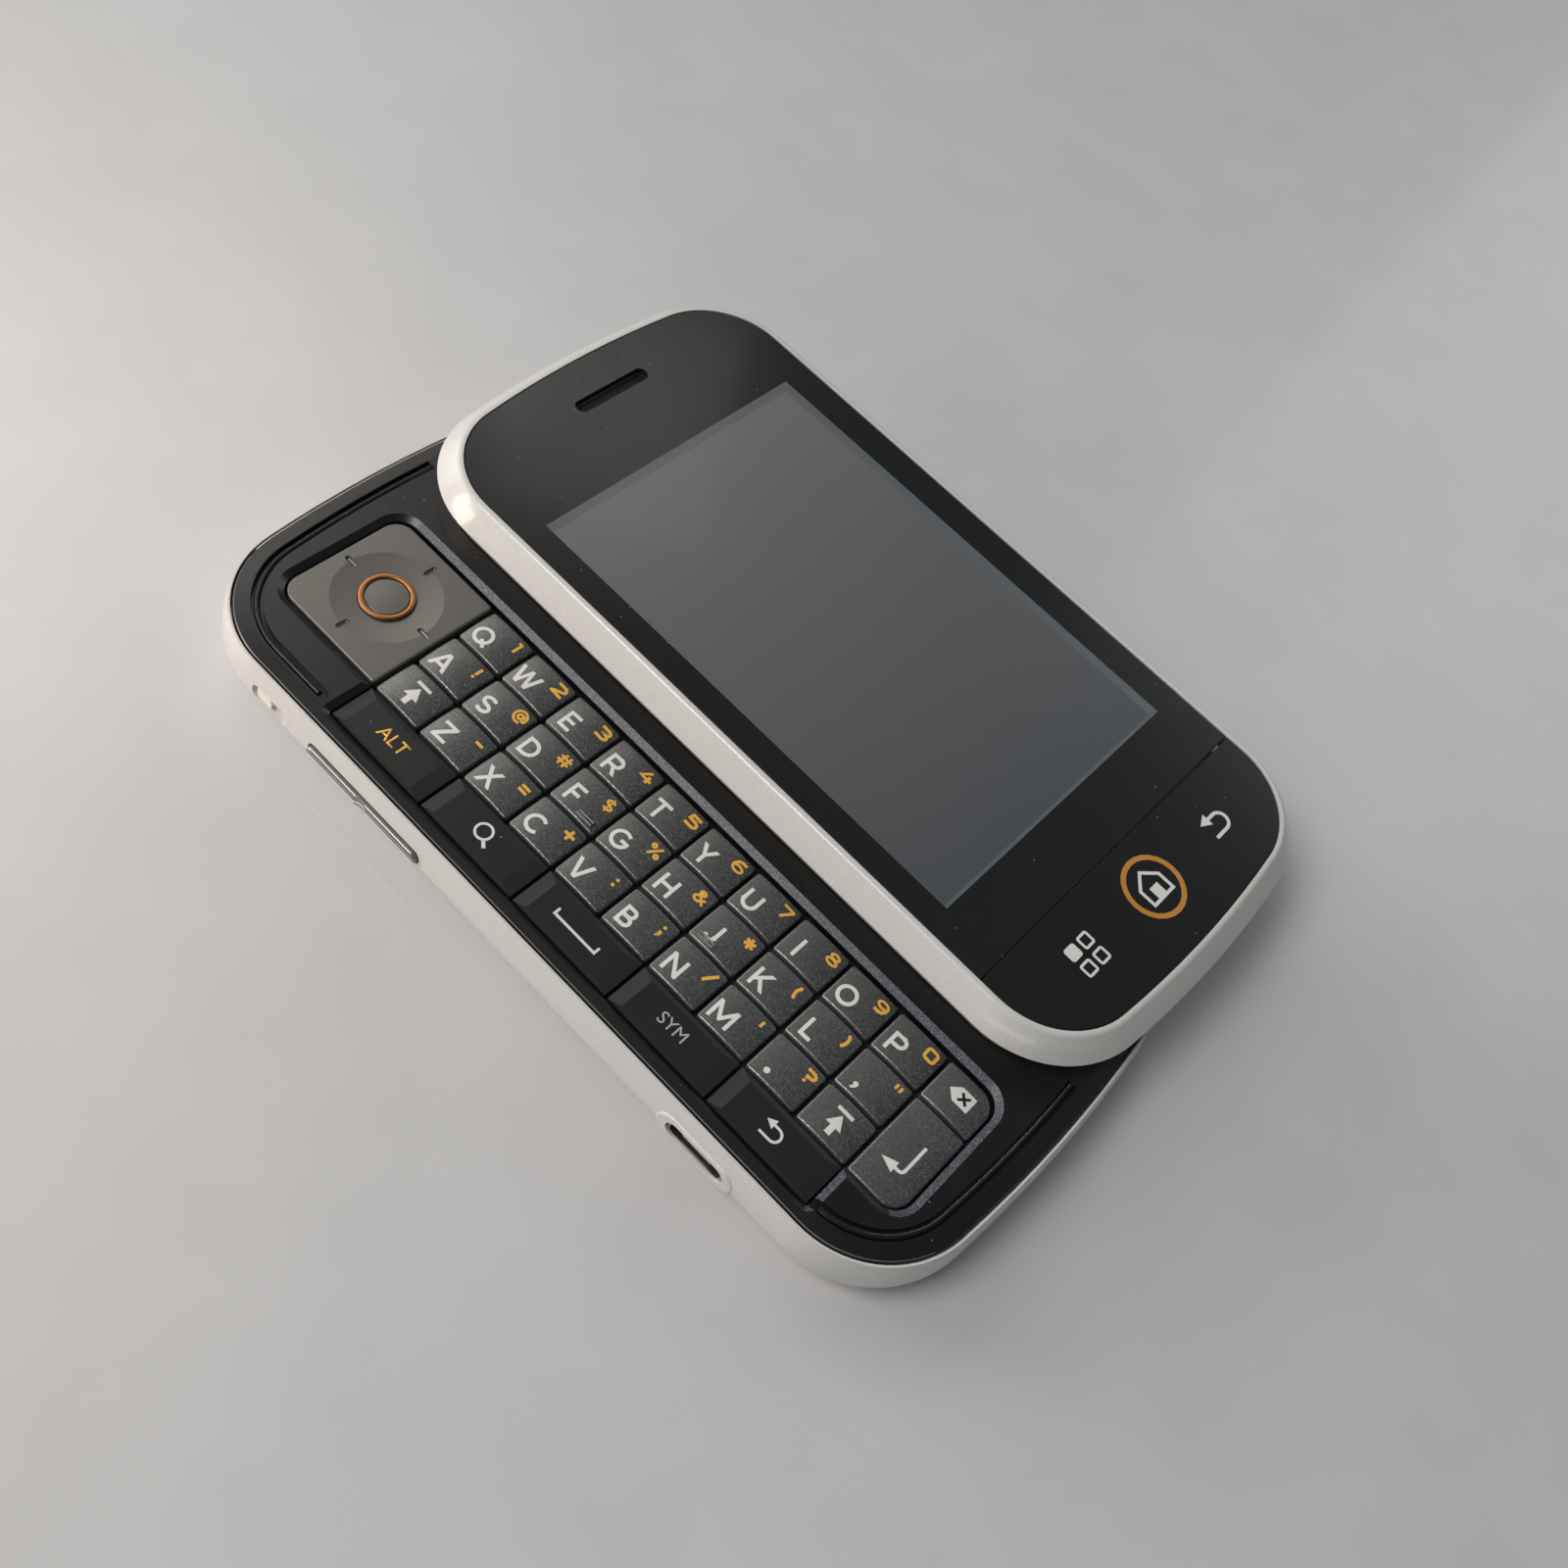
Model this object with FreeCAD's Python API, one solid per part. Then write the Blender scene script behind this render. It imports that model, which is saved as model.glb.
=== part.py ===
import FreeCAD, Part
import math
import os
from FreeCAD import Vector

# Slider phone: a keypad half and a screen half that slides sideways off it, shown open.
# Millimetres. The origin is the middle of the flat underside, +X runs to the end with the
# home key, +Y is the way the screen half slides open, +Z is up.

# ---------------------------------------------------------------- keypad
key_pitch = 7.395
row_pitch = 6.02
key_gap = 0.45
key_columns = 11
key_rows = 3
key_crown_drop = 0.25
key_edge_radius = 0.25
key_corner_radius = 0.4
keypad_outer_corner = 2.4
key_height = 1.5
key_travel = 0.25
press_clearance = 0.05
key_sink = 0.3
pad_width = 16.55
pad_dish_radius = 6.5
pad_dish_depth = 0.3
pad_tick_length = 1.8
pad_tick_width = 0.7
pad_tick_drop = 0.05
pad_tick_reach = 6.4
ok_radius = 3.3
ok_gap = 0.1
ok_ring_width = 0.6
ok_ring_rise = 0.12
ok_groove_width = 0.15
ok_groove_depth = 0.2
ok_crown_drop = 0.06
home_bar_length = 2.5
home_bar_width = 0.22
home_bar_height = 0.18
home_bar_starts = {"f": 0.53, "j": 0.125}
bar_key_depth = 5.5
bar_key_side_bevel = 1.7
bar_key_far_bevel = 0.8
bar_key_near_bevel = 0.3
bar_key_rise = 0.5
bar_key_sink = 0.05

# ---------------------------------------------------------------- lower half
end_margin = 8.05
near_margin = 2.0
far_margin = 1.5
well_gap = 0.3
well_far_gap = 0.6
well_bevel = 0.8
well_bevel_depth = 0.55
body_end_radius = 171.0
body_corner_radius = 14.0
belly_height = 5.2
belly_inset = 4.5
inner_bend_height = 3.0
rim_inset = 0.75
rim_lip = 0.25
floor_thickness = 1.2
wall_thickness = 1.3
panel_thickness = 1.5
panel_proud = 0.25
panel_gap = 0.2
panel_slope_width = 1.8
panel_slope_drop = 0.25
panel_edge_bevel = 0.2
ledge_width = 0.7
groove_inset = 2.65
groove_width = 1.3
groove_depth = 0.7
groove_bead_width = 0.7
groove_bead_drop = 0.3
groove_end_gap = 2.0
groove_far_y = 6.0

# ---------------------------------------------------------------- inside the lower half
battery_length = 56.0
battery_width = 40.0
battery_thickness = 4.8
battery_centre_x = -1.5
battery_clearance = 0.3
door_thickness = 0.8
door_lip = 1.2
door_gap = 0.15
door_corner_radius = 3.0
door_grip_width = 12.0
door_grip_depth = 0.35
notch_gap = 0.4
board_thickness = 0.8
board_inset = 3.2
sheet_thickness = 0.7
sheet_margin = 0.4
boss_radius = 2.2
boss_bore_radius = 0.7
boss_inset = 5.0
boss_clearance = 1.0

# ---------------------------------------------------------------- sockets and side keys
jack_bore_radius = 1.8
jack_depth = 14.0
jack_wall = 1.1
jack_y = 9.0
jack_z = 5.0
jack_gap = 0.15
jack_back = 0.8
jack_collar = 3.0
usb_x = 29.8
usb_width = 7.9
usb_height = 2.5
usb_depth = 5.5
usb_shell = 0.3
usb_tongue_thickness = 0.6
usb_tongue_inset = 1.6
usb_corner_radius = 1.0
port_z = 5.2
port_gap = 0.2
port_recess = 0.15
port_boss_width = 11.4
port_boss_low = 2.8
port_boss_margin = 0.6
port_boss_proud = 0.1
port_boss_depth = 1.3
port_boss_round = 0.4
side_key_z = 5.65
side_key_height = 1.8
side_key_gap = 0.2
side_key_proud = 0.5
side_key_flange = 0.7
side_key_edge_radius = 0.3
side_key_flange_lip = 0.7
side_key_float = 0.3
rocker_x = -22.6
rocker_length = 18.2
rocker_notch_radius = 1.5
rocker_notch_depth = 0.35
power_x = -20.0
power_length = 10.0
mute_x = -38.7
mute_recess_length = 5.8
mute_recess_depth = 0.7
mute_knob_length = 2.4
mute_travel = 2.0
camera_x = -43.5
camera_y = -9.0
camera_window_radius = 4.0
camera_body_size = 9.6
camera_body_height = 4.2
camera_recess = 0.25
camera_gap = 0.15
speaker_x = 43.0
speaker_y = 7.0
speaker_length = 13.0
speaker_width = 10.0
speaker_height = 3.0
speaker_slots = 4
speaker_slot_width = 1.0

# ---------------------------------------------------------------- slide rails
slide_width = 79.2
slide_sheet = 0.4
slide_gap = 0.2
rail_lip = 1.4
rail_stop_gap = 0.9
rail_plate_margin = 1.5
rail_sink = 0.7
running_gap = 0.25
hook_clearance = 0.3
slide_wall = 1.5

# ---------------------------------------------------------------- screen half
phone_thickness = 15.6
top_end_inset = 1.5
top_side_inset = 0.75
top_end_radius = 153.0
top_corner_radius = 13.7
bezel_width = 3.0
bezel_drop = 2.8
bezel_lower_edge = 0.4
bezel_ridge = 0.75
bezel_round = 0.35
bezel_swell = 0.08
cover_taper = 1.5
cover_floor = 0.85
cover_brow = 0.45
lens_thickness = 1.0
lens_gap = 0.12
lens_edge_bevel = 0.12
lens_ledge_width = 1.2
lens_ledge_thickness = 0.7
key_panel_length = 14.1
key_panel_seam = 0.15
key_panel_travel = 0.2
window_length = 65.5
window_width = 43.4
screen_side_border = 3.55
window_end_margin = 17.3
lcd_border = 1.7
lcd_thickness = 1.7
ear_slot_length = 12.0
ear_slot_width = 2.0
ear_end_margin = 6.3
ear_border = 1.6
ear_clearance = 0.1

# ---------------------------------------------------------------- derived places
CUT = 1.0
keypad_length = pad_width + key_columns * key_pitch
keypad_left = -keypad_length / 2
grid_left = keypad_left + pad_width + key_gap / 2
body_half_length = keypad_length / 2 + end_margin
lens_half_width = window_width / 2 + screen_side_border
body_half_width = lens_half_width + bezel_width + top_side_inset
keypad_near = -body_half_width + rim_inset + rim_lip + near_margin
bar_far = keypad_near + well_gap + bar_key_depth + key_gap / 2
row_line_far = bar_far + key_rows * row_pitch
well_far = row_line_far - key_gap / 2 + well_far_gap
slide_travel = (well_far + well_bevel + far_margin
                + body_half_width - top_side_inset)

bezel_bottom = phone_thickness - bezel_drop - bezel_lower_edge
hook_low = bezel_bottom - cover_floor - 3 * slide_sheet - 2 * slide_gap
flange_low = hook_low + slide_sheet + slide_gap
carrier_low = flange_low + slide_sheet + slide_gap
top_underside = hook_low
panel_top = top_underside - running_gap
rim_top = panel_top - panel_proud
panel_bottom = panel_top - panel_thickness
key_top = panel_top - key_sink
key_bottom = key_top - key_height
sheet_top = key_bottom - key_travel - press_clearance
sheet_bottom = sheet_top - sheet_thickness
board_bottom = sheet_bottom - board_thickness
battery_top = door_thickness + battery_thickness

# Plan outlines: half length, half width, end radius, corner radius.
BODY = (body_half_length, body_half_width, body_end_radius, body_corner_radius)
TOP = (body_half_length - top_end_inset, body_half_width - top_side_inset,
       top_end_radius, top_corner_radius)


def grown(plan, amount):
    """The same plan outline moved outwards by an amount."""
    return tuple(size + amount for size in plan)


LENS = grown(TOP, -bezel_width)
PANEL = grown(BODY, -rim_inset - rim_lip - panel_gap)


# ---------------------------------------------------------------- shape helpers
def corner_points(plan):
    """Where the corner arc of a plan outline starts, its middle and its end."""
    half_length, half_width, end_radius, corner_radius = plan
    end_centre = half_length - end_radius
    rise = half_width - corner_radius
    reach = end_radius - corner_radius
    corner_x = end_centre + math.sqrt(reach ** 2 - rise ** 2)
    turn = math.atan2(rise, corner_x - end_centre)
    middle = (turn + math.pi / 2) / 2
    arc_middle = (corner_x + corner_radius * math.cos(middle),
                  rise + corner_radius * math.sin(middle))
    arc_end = (end_centre + end_radius * math.cos(turn), end_radius * math.sin(turn))
    return corner_x, arc_middle, arc_end


def outline(plan, z):
    """Closed wire of a phone plan: straight sides, wide end arcs and round corners."""
    half_length, half_width = plan[:2]
    corner_x, arc_middle, arc_end = corner_points(plan)

    def point(x, y):
        return Vector(x, y, z)

    near_left = point(-corner_x, -half_width)
    near_right = point(corner_x, -half_width)
    far_left = point(-corner_x, half_width)
    far_right = point(corner_x, half_width)
    edges = [Part.LineSegment(near_left, near_right)]
    edges.append(Part.Arc(near_right, point(arc_middle[0], -arc_middle[1]),
                          point(arc_end[0], -arc_end[1])))
    edges.append(Part.Arc(point(arc_end[0], -arc_end[1]), point(half_length, 0),
                          point(arc_end[0], arc_end[1])))
    edges.append(Part.Arc(point(arc_end[0], arc_end[1]),
                          point(arc_middle[0], arc_middle[1]), far_right))
    edges.append(Part.LineSegment(far_right, far_left))
    edges.append(Part.Arc(far_left, point(-arc_middle[0], arc_middle[1]),
                          point(-arc_end[0], arc_end[1])))
    edges.append(Part.Arc(point(-arc_end[0], arc_end[1]), point(-half_length, 0),
                          point(-arc_end[0], -arc_end[1])))
    edges.append(Part.Arc(point(-arc_end[0], -arc_end[1]),
                          point(-arc_middle[0], -arc_middle[1]), near_left))
    return Part.Wire([edge.toShape() for edge in edges])


def slab(plan, low, high):
    """Solid of a plan outline between two heights."""
    return Part.Face(outline(plan, low)).extrude(Vector(0, 0, high - low))


def profile_wire(points, place):
    """Closed wire through points. An entry with three pairs is an arc by way of a point."""
    edges = []
    start = points[-1][-1] if isinstance(points[-1][0], tuple) else points[-1]
    for entry in points:
        if isinstance(entry[0], tuple):
            middle, end = entry
            edges.append(Part.Arc(place(*start), place(*middle), place(*end)).toShape())
        else:
            end = entry
            edges.append(Part.LineSegment(place(*start), place(*end)).toShape())
        start = end
    return Part.Wire(edges)


def swept_ring(plan, points):
    """Ring whose section, in outward distance and height, runs round a plan outline."""
    corner_x = corner_points(plan)[0]
    half_width = plan[1]

    def place(outward, height):
        return Vector(-corner_x, -half_width - outward, height)

    section = profile_wire(points, place)
    return outline(plan, 0).makePipeShell([section], True, False)


def block(x0, x1, y0, y1, z0, z1):
    """Box between two corners."""
    return Part.makeBox(x1 - x0, y1 - y0, z1 - z0, Vector(x0, y0, z0))


def post(x, y, z0, z1, radius):
    """Upright cylinder."""
    return Part.makeCylinder(radius, z1 - z0, Vector(x, y, z0))


def rounded_block(x0, x1, y0, y1, z0, z1, radii):
    """Box with upright round corners. Radii: near left, near right, far right, far left."""
    corners = [(x0, y0, 1, 1), (x1, y0, -1, 1), (x1, y1, -1, -1), (x0, y1, 1, -1)]
    diagonal = 1 - math.sqrt(0.5)
    points = []
    for index, (x, y, inward_x, inward_y) in enumerate(corners):
        radius = radii[index]
        along_x = (x + inward_x * radius, y)
        along_y = (x, y + inward_y * radius)
        first, last = (along_y, along_x) if index % 2 == 0 else (along_x, along_y)
        middle = (x + inward_x * radius * diagonal, y + inward_y * radius * diagonal)
        points.append(first)
        points.append((middle, last))
    wire = profile_wire(points, lambda px, py: Vector(px, py, z0))
    return Part.Face(wire).extrude(Vector(0, 0, z1 - z0))


def long_hole(x0, x1, z0, z1, y0, y1, radius):
    """Solid along Y with a rounded rectangular section, as for a slot in a side wall."""
    lying = rounded_block(x0, x1, z0, z1, 0, y1 - y0, [radius] * 4)
    lying.rotate(Vector(0, 0, 0), Vector(1, 0, 0), 90)
    lying.translate(Vector(0, y1, 0))
    return lying


def edges_at_y(shape, y):
    """Edges of a shape that lie at one place across the phone."""
    return [edge for edge in shape.Edges if all(abs(v.Y - y) < 1e-6 for v in edge.Vertexes)]


def edges_above(shape, z):
    """Edges of a shape that lie wholly above a height."""
    return [edge for edge in shape.Edges if all(v.Z > z for v in edge.Vertexes)]


def joined(shapes):
    """One solid from shapes that touch or overlap."""
    return shapes[0].multiFuse(shapes[1:]).removeSplitter()


def moved(shape, x, y, z):
    """The shape shifted by a vector."""
    copy = shape.copy()
    copy.translate(Vector(x, y, z))
    return copy


NODES = {}


# ---------------------------------------------------------------- rear housing
def belly_outward(height, depth, inset):
    """Outward distance of an elliptical belly of a given depth at a height."""
    share = (depth - height) / depth
    return -inset + inset * math.sqrt(max(0.0, 1 - share ** 2))


floor_inset = belly_inset + 3.0
outer_low = belly_height * 0.12
outer_mid = belly_height * 0.55
inner_depth = inner_bend_height - floor_thickness
inner_inset = belly_inset - wall_thickness * 0.5
inner_mid = inner_depth * 0.35


def housing_wall():
    """Boat-shaped side wall with a ledge that carries the keypad bezel."""
    rim_outer = -rim_inset
    ledge_outer = rim_outer - rim_lip
    inner = ledge_outer - ledge_width
    side_bulge = -rim_inset * 0.27
    return swept_ring(BODY, [
        (-floor_inset, 0),
        (-belly_inset, 0),
        ((belly_outward(outer_low * 0.3, belly_height, belly_inset), outer_low * 0.3),
         (belly_outward(outer_low, belly_height, belly_inset), outer_low)),
        ((belly_outward(outer_mid, belly_height, belly_inset), outer_mid),
         (0, belly_height)),
        ((side_bulge, (belly_height + rim_top) / 2), (rim_outer, rim_top)),
        (ledge_outer, rim_top),
        (ledge_outer, panel_bottom),
        (inner, panel_bottom),
        (inner, inner_bend_height),
        ((inner + belly_outward(inner_mid, inner_depth, inner_inset),
          floor_thickness + inner_mid),
         (inner - inner_inset, floor_thickness)),
        (-floor_inset, floor_thickness),
    ])


inner_wall = -rim_inset - rim_lip - ledge_width
door_half_length = battery_length / 2 + battery_clearance + door_lip
door_half_width = battery_width / 2 + battery_clearance + door_lip
boss_x = door_half_length + boss_radius + boss_clearance
boss_y = battery_width / 2 - boss_inset
BOSSES = [(battery_centre_x + side_x * boss_x, side_y * boss_y)
          for side_x in (-1, 1) for side_y in (-1, 1)]

near_wall = -body_half_width
near_inner = near_wall - inner_wall
key_low = side_key_z - side_key_height / 2
key_high = side_key_z + side_key_height / 2
jack_outer_radius = jack_bore_radius + jack_wall


def end_face_x(y):
    """How far out the left end wall lies at a place across the phone."""
    return body_half_length - body_end_radius + math.sqrt(body_end_radius ** 2 - y ** 2)


jack_mouth_x = -end_face_x(abs(jack_y) + jack_outer_radius) + jack_gap


def side_key_hole(x, length, side):
    """Hole through a long side wall for a key of a given length."""
    half = length / 2 + side_key_gap
    y0, y1 = sorted((side * (body_half_width + CUT), side * (-near_inner - CUT)))
    return long_hole(x - half, x + half, key_low - side_key_gap, key_high + side_key_gap,
                     y0, y1, side_key_height / 2)


def rear_housing():
    """White outer shell of the lower half, with its floor, ports and side key holes."""
    floor = slab(grown(BODY, -floor_inset), 0, floor_thickness)
    shell = joined([housing_wall(), floor])
    posts = [post(x, y, floor_thickness - CUT / 2, board_bottom, boss_radius)
             for x, y in BOSSES]
    boss_half = port_boss_width / 2
    boss_high = port_z + usb_height / 2 + port_gap + port_boss_margin
    port_boss = long_hole(usb_x - boss_half, usb_x + boss_half, port_boss_low, boss_high,
                          near_wall - port_boss_proud, near_wall + port_boss_depth,
                          (boss_high - port_boss_low) * 0.49)
    port_boss = port_boss.makeFillet(port_boss_round, edges_at_y(
        port_boss, near_wall - port_boss_proud))
    shell = shell.multiFuse(posts + [port_boss])
    cuts = [post(x, y, floor_thickness, board_bottom + CUT, boss_bore_radius)
            for x, y in BOSSES]
    cuts.append(rounded_block(
        battery_centre_x - door_half_length, battery_centre_x + door_half_length,
        -door_half_width, door_half_width, -CUT, door_thickness, [door_corner_radius] * 4))
    reach_x = battery_length / 2 + battery_clearance
    reach_y = battery_width / 2 + battery_clearance
    cuts.append(block(battery_centre_x - reach_x, battery_centre_x + reach_x,
                      -reach_y, reach_y, -CUT, floor_thickness + CUT))
    cuts.append(post(camera_x, camera_y, -CUT, floor_thickness + CUT,
                     camera_window_radius + camera_gap))
    pitch = speaker_length / (speaker_slots + 1)
    for index in range(speaker_slots):
        x = speaker_x - speaker_length / 2 + (index + 1) * pitch
        half = speaker_slot_width / 2
        reach = speaker_width / 2 - speaker_slot_width
        cuts.append(rounded_block(x - half, x + half, speaker_y - reach, speaker_y + reach,
                                  -CUT, floor_thickness + CUT, [half * 0.98] * 4))
    cuts.append(Part.makeCylinder(jack_outer_radius + jack_gap, jack_depth,
                                  Vector(-body_half_length - CUT, jack_y, jack_z),
                                  Vector(1, 0, 0)))
    port_half = usb_width / 2 + port_gap
    port_rise = usb_height / 2 + port_gap
    cuts.append(long_hole(usb_x - port_half, usb_x + port_half, port_z - port_rise,
                          port_z + port_rise, near_wall - CUT, near_inner + CUT,
                          port_rise * 0.98))
    cuts.append(side_key_hole(rocker_x, rocker_length, -1))
    cuts.append(side_key_hole(power_x, power_length, 1))
    half = mute_recess_length / 2
    cuts.append(long_hole(mute_x - half, mute_x + half, key_low - side_key_gap,
                          key_high + side_key_gap, near_wall - CUT,
                          near_wall + mute_recess_depth, side_key_height / 2))
    half = (mute_knob_length + mute_travel) / 2 + side_key_gap
    cuts.append(block(mute_x - half, mute_x + half, near_wall, near_inner + CUT,
                      side_key_z - side_key_height / 4 - side_key_gap,
                      side_key_z + side_key_height / 4 + side_key_gap))
    return shell.cut(cuts)


NODES["rear_housing"] = rear_housing()


# ---------------------------------------------------------------- keypad bezel
well_left = keypad_left - well_gap
well_right = keypad_left + keypad_length + well_gap
well_step_y = bar_far + key_gap / 2 - well_gap
bar_left = grid_left + key_gap / 2 - well_gap
bar_right = grid_left + (key_columns - 1) * key_pitch - key_gap / 2 + well_gap


def keypad_well(margin, low, high):
    """Opening that the nav pad and the keys stand in, grown by a margin."""
    round_corner = keypad_outer_corner + well_gap + margin
    small = key_corner_radius + margin
    main = rounded_block(well_left - margin, well_right + margin, well_step_y - margin,
                         well_far + margin, low, high,
                         [round_corner] * 4)
    lower = rounded_block(bar_left - margin, bar_right + margin, keypad_near - margin,
                          well_far, low, high, [small, small, small, small])
    return main.fuse(lower).removeSplitter()


def end_groove(side):
    """Groove with a bead in it that follows one end of the bezel, up to the bar keys."""
    plan = grown(PANEL, -groove_inset)
    half_length, half_width = plan[:2]
    corner_x = corner_points(plan)[0]
    bottom = panel_top - groove_depth
    bead = groove_bead_width / 2
    stop_x = bar_left - groove_end_gap if side < 0 else bar_right + groove_end_gap
    channel = swept_ring(plan, [
        (-groove_width / 2, bottom), (-bead, bottom),
        ((0, panel_top - groove_bead_drop), (bead, bottom)),
        (groove_width / 2, bottom), (groove_width / 2, panel_top + CUT),
        (-groove_width / 2, panel_top + CUT)])
    limit = side * min(abs(stop_x), corner_x)
    x0, x1 = sorted((limit, side * (half_length + CUT)))
    keep = block(x0, x1, -half_width - CUT, groove_far_y, bottom - CUT, panel_top + 2 * CUT)
    tip = post(limit, -half_width, bottom, panel_top + CUT, groove_width / 2)
    return channel.common(keep).fuse(tip)


rail_half = slide_width / 2 - slide_sheet - hook_clearance - rail_lip
slot_half = body_half_width - top_side_inset - cover_taper - slide_wall
rail_half_length = slot_half - slide_travel / 2 - rail_stop_gap
rail_centre_y = slide_travel / 2
plate_half_length = rail_half_length + rail_plate_margin


def keypad_bezel():
    """Black panel round the keys, with a bevelled well, end grooves and a rail pocket."""
    plate = slab(PANEL, panel_bottom, panel_top)
    fall = panel_slope_drop * (1 - panel_edge_bevel / panel_slope_width)
    plate = plate.cut(swept_ring(PANEL, [
        (-panel_slope_width, panel_top), (-panel_edge_bevel, panel_top - fall),
        (CUT, panel_top - fall - panel_edge_bevel - CUT),
        (CUT, panel_top + CUT), (-panel_slope_width, panel_top + CUT)]))
    plate = plate.cut(keypad_well(0, panel_bottom - CUT, panel_top + CUT))
    bevel_low = keypad_well(0, 0, CUT)
    bevel_top = keypad_well(well_bevel, 0, CUT)
    low_wire = flat_wire(bevel_low, 0, panel_top - well_bevel_depth)
    top_wire = flat_wire(bevel_top, 0, panel_top)
    plate = plate.cut(Part.makeLoft([low_wire, top_wire], True, True))
    plate = plate.cut(end_groove(-1)).cut(end_groove(1))
    pocket = block(-rail_half - door_gap, rail_half + door_gap,
                   rail_centre_y - plate_half_length - door_gap,
                   rail_centre_y + plate_half_length + door_gap,
                   panel_top - rail_sink, panel_top + CUT)
    return plate.cut(pocket)


def flat_wire(solid, z, new_z):
    """Outline of the flat face of a solid at height z, moved to a new height."""
    for face in solid.Faces:
        box = face.BoundBox
        if abs(box.ZMin - z) < 1e-6 and abs(box.ZMax - z) < 1e-6:
            wire = face.OuterWire.copy()
            wire.translate(Vector(0, 0, new_z - z))
            return wire
    raise ValueError("no flat face at that height")


NODES["keypad_bezel"] = keypad_bezel()


# ---------------------------------------------------------------- battery and its door
def battery_door():
    """Flat white door, flush with the underside, with a grip for a finger nail."""
    half_length = door_half_length - door_gap
    half_width = door_half_width - door_gap
    door = rounded_block(battery_centre_x - half_length, battery_centre_x + half_length,
                         -half_width, half_width, 0, door_thickness,
                         [door_corner_radius - door_gap] * 4)
    grip_radius = (door_grip_width ** 2 / 4 + door_grip_depth ** 2) / (2 * door_grip_depth)
    grip = Part.makeCylinder(grip_radius, door_grip_width / 3,
                             Vector(battery_centre_x + half_length - door_grip_width / 2,
                                    0, door_grip_depth - grip_radius), Vector(1, 0, 0))
    return door.cut(grip)


def battery_pack():
    """Flat battery that lies on the door, with rounded corners."""
    return rounded_block(battery_centre_x - battery_length / 2,
                         battery_centre_x + battery_length / 2,
                         -battery_width / 2, battery_width / 2,
                         door_thickness, battery_top, [door_lip] * 4)


NODES["battery_door"] = battery_door()
NODES["battery_pack"] = battery_pack()

# ---------------------------------------------------------------- board and key sheet
usb_mouth = near_wall + port_recess
usb_back = usb_mouth + usb_depth
jack_back_x = jack_mouth_x + jack_depth + jack_back


def main_board():
    """Circuit board on the four posts, notched for the two sockets."""
    board = slab(grown(BODY, -board_inset), board_bottom, sheet_bottom)
    jack_notch = block(-body_half_length, jack_back_x + notch_gap,
                       jack_y - jack_outer_radius - notch_gap,
                       jack_y + jack_outer_radius + notch_gap,
                       board_bottom - CUT, sheet_bottom + CUT)
    usb_notch = block(usb_x - usb_width / 2 - notch_gap, usb_x + usb_width / 2 + notch_gap,
                      near_wall, usb_back + notch_gap, board_bottom - CUT, sheet_bottom + CUT)
    screw_holes = [post(x, y, board_bottom - CUT, sheet_bottom + CUT, boss_bore_radius)
                   for x, y in BOSSES]
    return board.cut([jack_notch, usb_notch] + screw_holes)


NODES["main_board"] = main_board()
NODES["keypad_sheet"] = keypad_well(sheet_margin, sheet_bottom, sheet_top)


# ---------------------------------------------------------------- keys
def column_line(column):
    """Middle of the gap on the left of a key column."""
    return grid_left + column * key_pitch


def row_line(row):
    """Middle of the gap on the far side of a key row."""
    return row_line_far - row * row_pitch


def crowned_key(x0, x1, y0, y1, radii, z_high):
    """Key cap with a domed top and softened edges."""
    cap = rounded_block(x0, x1, y0, y1, key_bottom, z_high, radii)
    half = max(x1 - x0, y1 - y0) / 2
    dome = (half ** 2 + key_crown_drop ** 2) / (2 * key_crown_drop)
    cap = cap.common(Part.makeSphere(dome, Vector((x0 + x1) / 2, (y0 + y1) / 2,
                                                  z_high - dome)))
    return cap.makeFillet(key_edge_radius, edges_above(cap, (key_bottom + z_high) / 2))


def grid_key(column, row, rows=1, radii=None):
    """Key cap for a place in the grid."""
    return crowned_key(column_line(column) + key_gap / 2,
                       column_line(column + 1) - key_gap / 2,
                       row_line(row + rows) + key_gap / 2, row_line(row) - key_gap / 2,
                       radii or [key_corner_radius] * 4, key_top)


def with_home_bars(cap, column, row, start):
    """Key cap with the two thin bars that the first fingers find."""
    x = column_line(column + start)
    bars = []
    for step in (0, 2):
        y = row_line(row + 1) + key_gap + (1 + step) * home_bar_width
        bars.append(block(x, x + home_bar_length, y, y + home_bar_width,
                          key_top - key_crown_drop - home_bar_height,
                          key_top + home_bar_height / 2))
    return joined([cap] + bars)


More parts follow.
